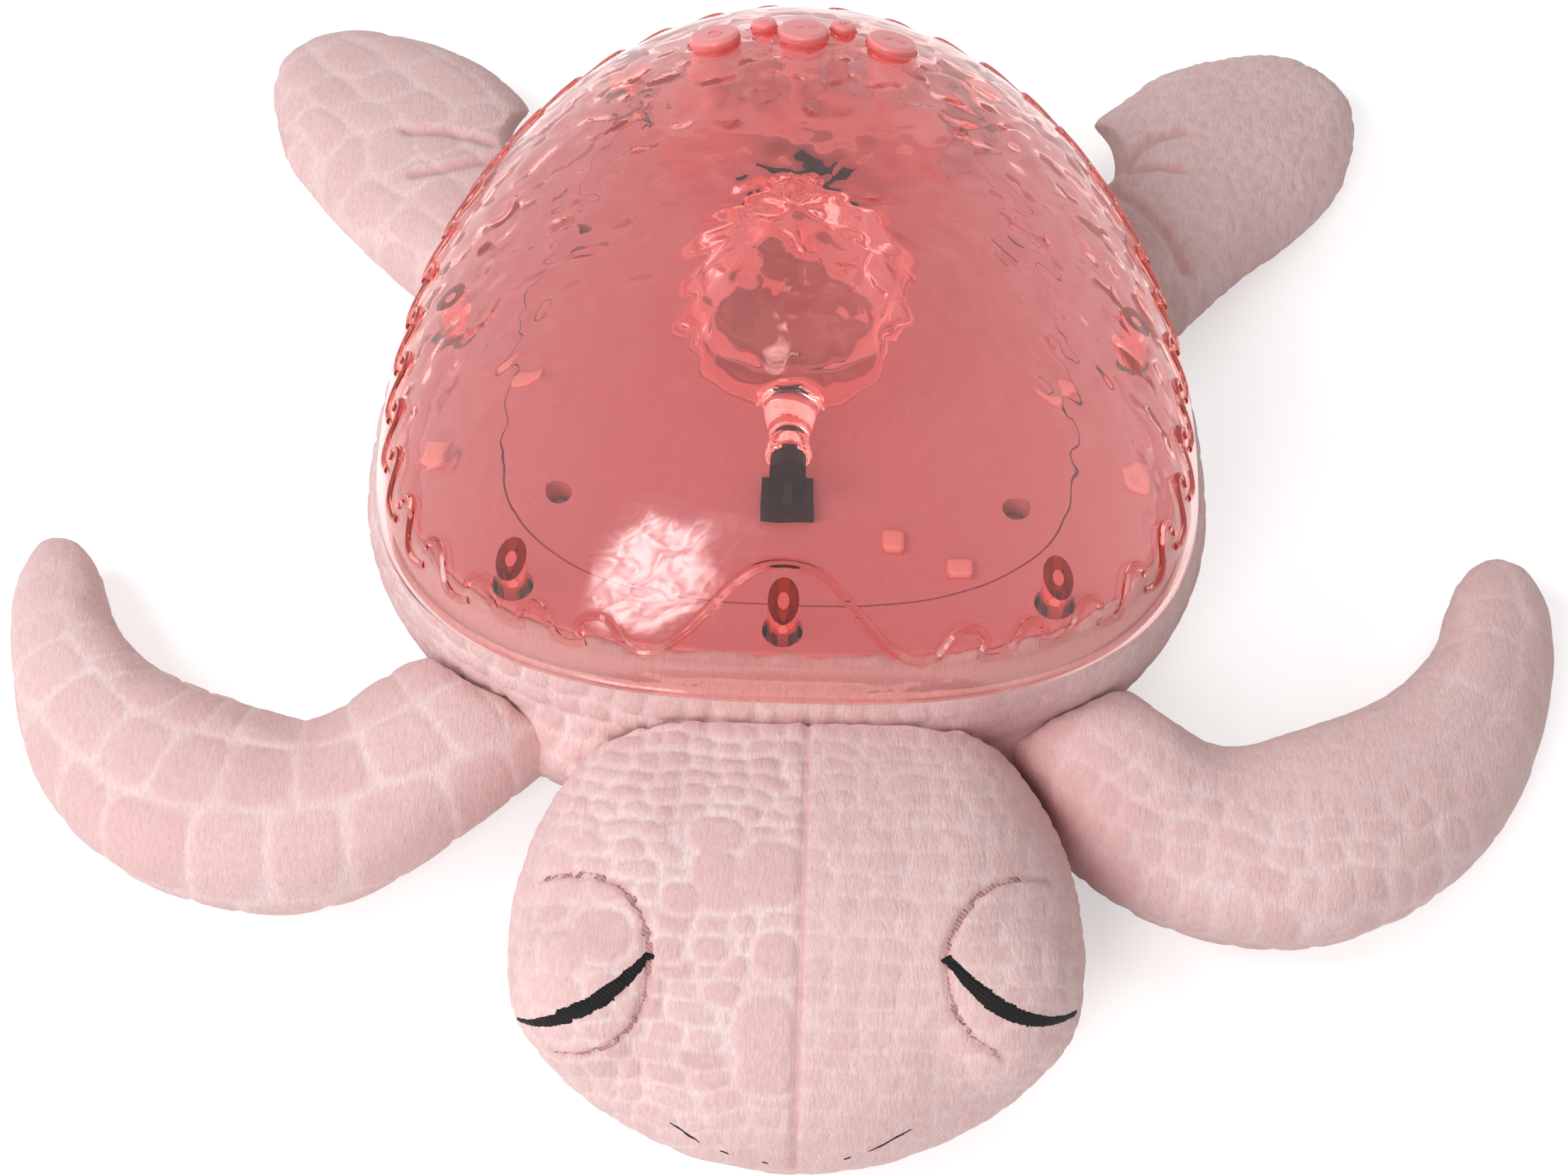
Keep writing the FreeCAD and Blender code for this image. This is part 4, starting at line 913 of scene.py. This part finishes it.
dome = {"rise": 63.5, "power": 0.66, "apexY": 18.8, "wall": 2.2, "around": 400, "rings": 74,
        "boss": {"radius": 3.8, "foot": 62.0, "headroom": 1.3, "sides": 32},
        "bore": {"radius": 1.4, "foot": 60.0, "headroom": 3.4, "sides": 20},
        "bosses": [(0, -72.2), (66, -61.2), (-66, -61.2), (86, 16.8), (-86, 16.8), (47, 102.8),
                   (-47, 102.8)],
        "hole": {"foot": 70, "headroom": None, "sides": 48},
        "holeRadius": {"big": 6.95, "small": 3.7}}
ripples = {"outer": {"size": 8.5, "height": 0.34}, "inner": {"size": 10.0, "height": 0.62},
           "warp": 2.2, "warpSize": 11.0, "swell": 0.13, "swellSize": 15.0, "clearFront": -48.0,
           "fadeFront": 2.0, "band": 68.0, "bandFade": 12.0, "least": 0.06}
waves = {"bead": 1.25, "sink": 0.1, "shifts": [0.0, 0.013, -0.017, 0.031, -0.04], "period": 15.8,
         "first": 47.0, "rearGap": 9.0, "sag": 1.6, "low": 68.7, "tall": 7, "shape": [
             (0, 70.4), (3.5, 68.7), (8, 69.9), (10.8, 73.1), (13.2, 75.2), (16.2, 75.6),
             (18.6, 73.6), (17.4, 71.9)]}
arch = [(0, 90.1), (9, 89.0), (17.5, 82.6), (24.5, 74.6), (30, 70.6), (34.5, 69.9), (39, 72.0),
        (42, 75.9), (46, 77.0), (49.8, 75.4), (50.4, 72.8), (48.3, 71.3)]
# the colour is deeper at the rim and in the beads, less so in the beads at the front; partly
# thicker plastic, partly painted shade
thickAndShadeMarks = {"rim": 1.0, "bead": 1.0, "frontBead": 0.75, "front": -30 * mm, "rimHeight": 0.3,
              "reach": 0.03 * mm}


def onDome(angle, share):
    reach = rimReach(angle)
    x = share * reach * math.cos(angle)
    y = dome["apexY"] + share * (rim["centreY"] + reach * math.sin(angle) - dome["apexY"])
    z = rim["z"] + dome["rise"] * max(0.0, 1 - share * share) ** dome["power"]
    return Vector((x, y, z)) * mm


def shareAt(x, y):
    low, high = 0.0001, 1.2
    for _ in range(30):
        middle = (low + high) / 2
        px, py = x / middle, dome["apexY"] + (y - dome["apexY"]) / middle - rim["centreY"]
        if math.hypot(px, py) > rimReach(math.atan2(py, px)):
            low = middle
        else:
            high = middle
    return high


def domeTop(x, y):
    share = min(1.0, shareAt(x, y))
    return rim["z"] + dome["rise"] * (1 - share * share) ** dome["power"]


def domeNormal(x, y):
    slopeX = (domeTop(x + 0.5, y) - domeTop(x - 0.5, y))
    slopeY = (domeTop(x, y + 0.5) - domeTop(x, y - 0.5))
    return Vector((-slopeX, -slopeY, 1)).normalized()


def rippleShell(piece, outerCount):
    # the outer face comes first in the mesh, then the inner one, whose ripples are deeper
    def rule(i, place, normal):
        face = ripples["outer" if i < outerCount else "inner"]
        place = place / mm
        least = ripples["least"]
        strength = smooth(place.z, ripples["band"], ripples["band"] + ripples["bandFade"])
        strength *= least + (1 - least) * smooth(
            place.y + 0.25 * abs(place.x), ripples["clearFront"], ripples["fadeFront"])
        warp = noise.noise_vector(place / ripples["warpSize"]) * ripples["warp"]
        near = noise.voronoi((place + warp) / face["size"])[0][0]
        wash = noise.noise(place / (0.55 * face["size"]))
        level = strength * face["height"] * (0.3 - near * near * 0.9 + 0.85 * wash)
        swell = ripples["swell"] * noise.noise(place / ripples["swellSize"])
        return (level + swell * smooth(place.z, 60, 64)) * mm

    moveAlongNormals(piece, rule)


def domeSheet():
    around, rings = dome["around"], dome["rings"]
    piece = newGrid("clearShell", around, rings)
    for i, vertex in enumerate(piece.data.vertices):
        angle = 2 * math.pi * (i % (around + 1)) / around
        turn = (i // (around + 1)) / rings * math.pi / 2
        vertex.co = onDome(angle, math.cos(turn))
    mergeDoubles(piece, 0.01 * mm)
    return piece


def outlineTable():
    # distance round the dome from the front centre towards -X, against angle
    steps, share = 720, 0.95
    table = [(0.0, -math.pi / 2)]
    before = onDome(-math.pi / 2, share)
    for i in range(1, steps + 1):
        angle = -math.pi / 2 - math.pi * i / steps
        here = onDome(angle, share)
        table.append((table[-1][0] + (here - before).length / mm, angle))
        before = here
    return table


def beadPoint(table, along, z, side):
    lower = max(i for i, (distance, _) in enumerate(table) if distance <= along)
    angle = table[lower][1]
    if lower + 1 < len(table):
        (d0, a0), (d1, a1) = table[lower], table[lower + 1]
        angle = a0 + (a1 - a0) * (along - d0) / (d1 - d0)
    lift = (z - rim["z"]) / dome["rise"]
    share = math.sqrt(max(0.0, 1 - lift ** (1 / dome["power"])))
    spot = onDome(angle, share)
    normal = domeNormal(spot.x / mm, spot.y / mm)
    spot = spot - normal * waves["sink"] * mm
    return Vector((-spot.x, spot.y, spot.z)) if side > 0 else spot


def makeBeads():
    curve = newCurve("waveBeads", 4, waves["bead"] * mm)
    table = outlineTable()
    length = table[-1][0] - waves["first"] - waves["rearGap"]
    count = round(length / waves["period"])

    def addBead(points):
        spline = addSpline(curve, points, 4)
        for end in (0, -1):
            spline.points[end].radius = 0.75

    for side in (-1, 1):
        for k in range(count):
            start = waves["first"] + k * (length / count)
            sag = waves["sag"] * smooth(start, 60, 90)
            addBead([beadPoint(table, start + u,
                               z - sag * (1 - (z - waves["low"]) / waves["tall"]), side)
                     for u, z in waves["shape"]])
    left = [beadPoint(table, u, z, -1) for u, z in arch]
    right = [beadPoint(table, u, z, 1) for u, z in arch[1:]]
    addBead(left[::-1] + right)
    beads = meshOfCurve(curve)
    mergeDoubles(beads, 0.005 * mm)
    return beads


def roundBar(x, y, radius, foot, headroom, sides):
    # an upright bar whose top follows the dome, that far under its outer face, or stands above it
    deselectAll()
    bpy.ops.mesh.primitive_cylinder_add(vertices=sides, radius=radius * mm, depth=10 * mm,
                                        location=(x * mm, y * mm, 0))
    bar = bpy.context.active_object
    bpy.ops.object.transform_apply(location=True)
    for vertex in bar.data.vertices:
        if vertex.co.z < 0:
            vertex.co.z = foot * mm
        elif headroom is None:
            vertex.co.z = 140 * mm
        else:
            vertex.co.z = (domeTop(vertex.co.x / mm, vertex.co.y / mm) - headroom) * mm
    return bar


def joinPieces(pieces):
    makeActive(pieces[0])
    for piece in pieces:
        piece.select_set(True)
    bpy.ops.object.join()
    return bpy.context.active_object


def addBeads(shell):
    # the union can lose the dome where faces touch, so it is tried again with the beads shifted
    bare = shell.data.copy()
    for shift in waves["shifts"]:
        beads = makeBeads()
        for vertex in beads.data.vertices:
            vertex.co.z += shift * mm
        surface = surfaceOf(beads)
        combine(shell, beads, "UNION", crossing=shift == waves["shifts"][-1])
        top = max(vertex.co.z for vertex in shell.data.vertices) / mm
        say(f"beads shifted by {shift} mm, shell {top:.1f} mm high")
        if top > rim["z"] + dome["rise"] - 2:
            break
        shell.data = bare.copy()
    return surface


def markThickAndShade(shell, beadSurface):
    # partly painted shade: the rim and the beads are marked to take a deeper colour
    marks = shell.data.attributes.new("thick", "FLOAT", "POINT").data
    for vertex, mark in zip(shell.data.vertices, marks):
        if vertex.co.z < (rim["z"] + thickAndShadeMarks["rimHeight"]) * mm:
            mark.value = thickAndShadeMarks["rim"]
        elif beadSurface.find_nearest(vertex.co, thickAndShadeMarks["reach"])[0]:
            inFront = vertex.co.y < thickAndShadeMarks["front"]
            mark.value = thickAndShadeMarks["frontBead" if inFront else "bead"]


def makeShell():
    shell = domeSheet()
    outerCount = len(shell.data.vertices)
    thicken(shell, dome["wall"] * mm)
    rippleShell(shell, outerCount)
    bosses = [roundBar(x, y, **dome["boss"]) for x, y in dome["bosses"]]
    combine(shell, joinPieces(bosses), "UNION")
    holes = [roundBar(x, y, **dome["bore"]) for x, y in dome["bosses"]]
    for name in buttonNodes:
        low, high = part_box(name)
        middle = (low + high) / 2 / mm
        radius = dome["holeRadius"][name.split("_")[0]]
        holes.append(roundBar(middle.x, middle.y, radius, **dome["hole"]))
    combine(shell, joinPieces(holes), "DIFFERENCE")
    markThickAndShade(shell, addBeads(shell))
    makeActive(shell)
    bpy.ops.object.shade_smooth_by_angle(angle=math.radians(35))
    paint(shell, clearPink)
    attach(shell, "turtle")
    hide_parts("shell")


makeShell()
say("shell")


# Lens: the dish gets soft facets on both faces

facets = {"voxel": 0.62 * mm, "rounds": 5, "size": 12.5, "innerSize": 0.8, "bow": 0.019,
          "sink": 0.4, "highest": 0.7, "centre": (0.0, 24.0, 76.0), "foot": 78.0, "front": -1.0,
          "footFade": 5, "frontFade": 9}


def makeLens():
    piece = copyOfNode("ripple_lens", "facetedLens")
    refine(piece, facets)

    def rule(i, place, normal):
        place = place / mm
        outward = normal.dot(place - Vector(facets["centre"])) > 0
        strength = smooth(place.z, facets["foot"], facets["foot"] + facets["footFade"])
        strength *= smooth(place.y, facets["front"], facets["front"] + facets["frontFade"])
        size = facets["size"] * (1.0 if outward else facets["innerSize"])
        near = noise.voronoi(place / size + Vector((0, 0, 0 if outward else 5)))[0][0] * size
        level = near * near * facets["bow"] - facets["sink"]
        return strength * min(level, facets["highest"]) * mm

    moveAlongNormals(piece, rule)
    makeActive(piece)
    bpy.ops.object.shade_smooth()
    paint(piece, clearLens)
    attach(piece, "lens_unit")
    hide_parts("ripple_lens")


makeLens()
say("lens")


# Deck tabs: each raised tab gets a soft, paler skin

deckTabs = {"top": 69.5, "rise": 2.1, "sunk": 0.4, "over": 0.5, "edge": 1.3, "spots": [
    (66.5, 4.8, 9, 5), (-66.5, 4.8, 9, 5), (88, -22.2, 6, 8), (-88, -22.2, 6, 8),
    (26.5, -44.7, 5, 6), (43, -52.2, 6, 5)]}


def makeDeckTabs():
    tabs = []
    tall = deckTabs["rise"] + deckTabs["sunk"]
    foot = deckTabs["top"] - deckTabs["sunk"]
    for x, y, length, width in deckTabs["spots"]:
        deselectAll()
        bpy.ops.mesh.primitive_cube_add(size=1, location=(x * mm, y * mm, (foot + tall / 2) * mm))
        tab = bpy.context.active_object
        tab.scale = ((length + deckTabs["over"]) * mm, (width + deckTabs["over"]) * mm, tall * mm)
        bpy.ops.object.transform_apply(location=True, scale=True)
        edge = tab.modifiers.new("edge", "BEVEL")
        edge.width = deckTabs["edge"] * mm
        edge.segments = 4
        applyModifiers(tab)
        tabs.append(tab)
    piece = joinPieces(tabs)
    piece.name = "deckTabs"
    bpy.ops.object.shade_smooth_by_angle(angle=math.radians(50))
    paint(piece, tabPink)
    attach(piece, "turtle")


makeDeckTabs()
say("deck tabs")


# Raised marks on the button tops

buttonMarks = {"line": 0.32, "rise": 0.12, "strokes": {
    "big_left": [[(-1.9, 0), (-1.2, 1.7), (1.2, 1.7), (1.9, 0), (1.2, -1.7), (-1.2, -1.7),
                  (-1.9, 0)]],
    "big_centre": [[(-3.2, 1.4), (-1.6, -1.2), (0, 1.4)], [(1.2, 0.9), (2.2, 1.6), (3.6, 1.2)]],
    "big_right": [[(-3.0, 1.2), (-1.6, -1.4), (-0.2, 1.2)], [(1.0, 1.4), (1.6, -0.6),
                                                             (3.4, -0.2)]],
    "small_left": [[(-1.2, 0), (1.2, 0)]],
    "small_right": [[(-1.2, 0), (1.2, 0)], [(0, -1.2), (0, 1.2)]]}}


def makeButtonMark(word, strokes):
    button = word.replace("_", "_button_")
    low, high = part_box(button)
    middle = (low + high) / 2
    mesh = nodes[button].data
    surface = BVHTree.FromPolygons([vertex.co for vertex in mesh.vertices],
                                   [face.vertices for face in mesh.polygons])
    curve = newCurve(word + "Mark", 12, buttonMarks["line"] * mm)
    for stroke in strokes:
        spots = []
        for x, y in stroke:
            above = Vector((middle.x + x * mm, middle.y + y * mm, high.z + 5 * mm))
            spot = surface.ray_cast(above, Vector((0, 0, -1)))[0]
            spot.z += (buttonMarks["rise"] - buttonMarks["line"] / 2) * mm
            spots.append(spot)
        addSpline(curve, spots)
    mark = meshOfCurve(curve)
    bpy.ops.object.shade_smooth()
    paint(mark, buttonPink)
    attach(mark, word + "_unit")


for word, strokes in buttonMarks["strokes"].items():
    makeButtonMark(word, strokes)
say("button marks")


# Floor, light and camera

def whiteWhereSeen(tree, share):
    path = addNode(tree, "LightPath").outputs
    seen = addMath(tree, "MAXIMUM", path["Is Camera Ray"], path["Is Glossy Ray"])
    seen = addMath(tree, "MAXIMUM", seen, path["Is Transmission Ray"])
    return addMath(tree, "MULTIPLY", seen, share)


def makeFloor():
    bpy.ops.mesh.primitive_plane_add(size=6.0, location=(0, 0, 0))
    floor = bpy.context.active_object
    floor.name = "floor"
    material, tree, shader = newMaterial("paleFloor")
    cloud = addNoise(tree, addPlace(tree), 3.0)
    setSockets(tree, shader, {
        "Base Color": addBlend(tree, cloud, (0.86, 0.86, 0.86), (0.9, 0.9, 0.9)),
        "Roughness": 0.9, "Specular IOR Level": 0.1, "Emission Color": (1.0, 1.0, 1.0),
        "Emission Strength": whiteWhereSeen(tree, 0.5)})
    paint(floor, material)


# how bright the surroundings are: to all, where they are seen, and beside a mirrored view
studio = {"warm": (1.0, 0.965, 0.94), "white": (1.0, 1.0, 1.0), "ambient": 0.29, "seen": 0.67,
          "flankStart": 0.12}


def makeWorld():
    world = bpy.data.worlds.new("studio")
    scene.world = world
    world.use_nodes = True
    tree = world.node_tree
    incoming = addNode(tree, "NewGeometry").outputs["Incoming"]
    sideways = addNode(tree, "SeparateXYZ", {0: incoming}).outputs["X"]
    mirrored = addNode(tree, "LightPath").outputs["Is Glossy Ray"]
    flank = addMath(tree, "SUBTRACT", addMath(tree, "MULTIPLY", sideways, sideways),
                    studio["flankStart"])
    ambient = addMath(tree, "ADD", whiteWhereSeen(tree, studio["seen"]), studio["ambient"])
    setSockets(tree, tree.nodes["Background"], {
        "Color": addBlend(tree, whiteWhereSeen(tree, 1.0), studio["warm"], studio["white"]),
        "Strength": addMath(tree, "ADD", ambient, addMath(tree, "MULTIPLY", flank, mirrored))})


lights = [
    {"name": "softBox", "towards": (-0.27, -0.80, 0.54), "away": 1.5, "size": (0.55, 1.2),
     "power": 12.0},
    {"name": "leftKey", "towards": (-0.85, -0.15, 0.75), "away": 1.7, "size": (0.8, 0.8),
     "power": 14.0, "hidden": True},
    {"name": "topFill", "towards": (0.40, 0.40, 1.0), "away": 1.8, "size": (1.6, 1.2),
     "power": 6.0, "hidden": True},
]


def softenEdges(lamp):
    # the lamp fades towards its edges and has a cloudy face, so that its reflection does too
    lamp.use_nodes = True
    tree = lamp.node_tree
    face = addNode(tree, "NewGeometry").outputs["Parametric"]
    away = addNode(tree, "VectorMath", {0: face, 1: (0.5, 0.5, 0.0)},
                   operation="DISTANCE").outputs["Value"]
    cloud = addNoise(tree, face, 3.2, 2.0, 0.5, 0.8)
    edge = addMath(tree, "ADD", away, addMath(tree, "MULTIPLY", cloud, 0.35))
    fade = addRange(tree, edge, 0.52, 0.70, 1.5, 0.1)
    swirl = addRange(tree, addNoise(tree, face, 4.5, 2.0, 0.5, 2.5), 0.40, 0.58, 0.42, 1.2)
    feed(tree, tree.nodes["Emission"].inputs["Strength"], addMath(tree, "MULTIPLY", fade, swirl))


def makeLights():
    target = Vector((0, -0.028, 0.06))
    for light in lights:
        lamp = bpy.data.lights.new(light["name"], "AREA")
        lamp.shape = "RECTANGLE"
        lamp.size, lamp.size_y = light["size"]
        lamp.energy = light["power"]
        holder = newObject(light["name"], lamp)
        towards = Vector(light["towards"]).normalized()
        holder.location = target + towards * light["away"]
        holder.rotation_euler = towards.to_track_quat("Z", "Y").to_euler()
        shown = not light.get("hidden", False)
        holder.visible_glossy = holder.visible_transmission = shown
        if shown:
            softenEdges(lamp)


view = {"target": (0, -57.2 * mm, 66.5 * mm), "elevation": 53.0, "away": 902.5 * mm, "roll": 2.0,
        "focal": 5178.0, "imageWidth": 2212.0, "sensor": 36.0}


def makeCamera():
    rise = math.radians(view["elevation"])
    roll = math.radians(view["roll"])
    back = Vector((0, -math.cos(rise), math.sin(rise)))
    right = Vector((1, 0, 0))
    up = back.cross(right)
    turned = right * math.cos(roll) + up * math.sin(roll)
    upright = up * math.cos(roll) - right * math.sin(roll)
    camera = bpy.data.cameras.new("photoCamera")
    camera.sensor_width = view["sensor"]
    camera.lens = view["focal"] * view["sensor"] / view["imageWidth"]
    camera.clip_start = 0.01
    camera.clip_end = 20.0
    holder = newObject("photoCamera", camera)
    place = Vector(view["target"]) + back * view["away"]
    axes = Matrix((turned, upright, back)).transposed().to_4x4()
    holder.matrix_world = Matrix.Translation(place) @ axes
    scene.camera = holder


makeFloor()
makeWorld()
makeLights()
makeCamera()
scene.view_settings.view_transform = "Standard"
say("studio")
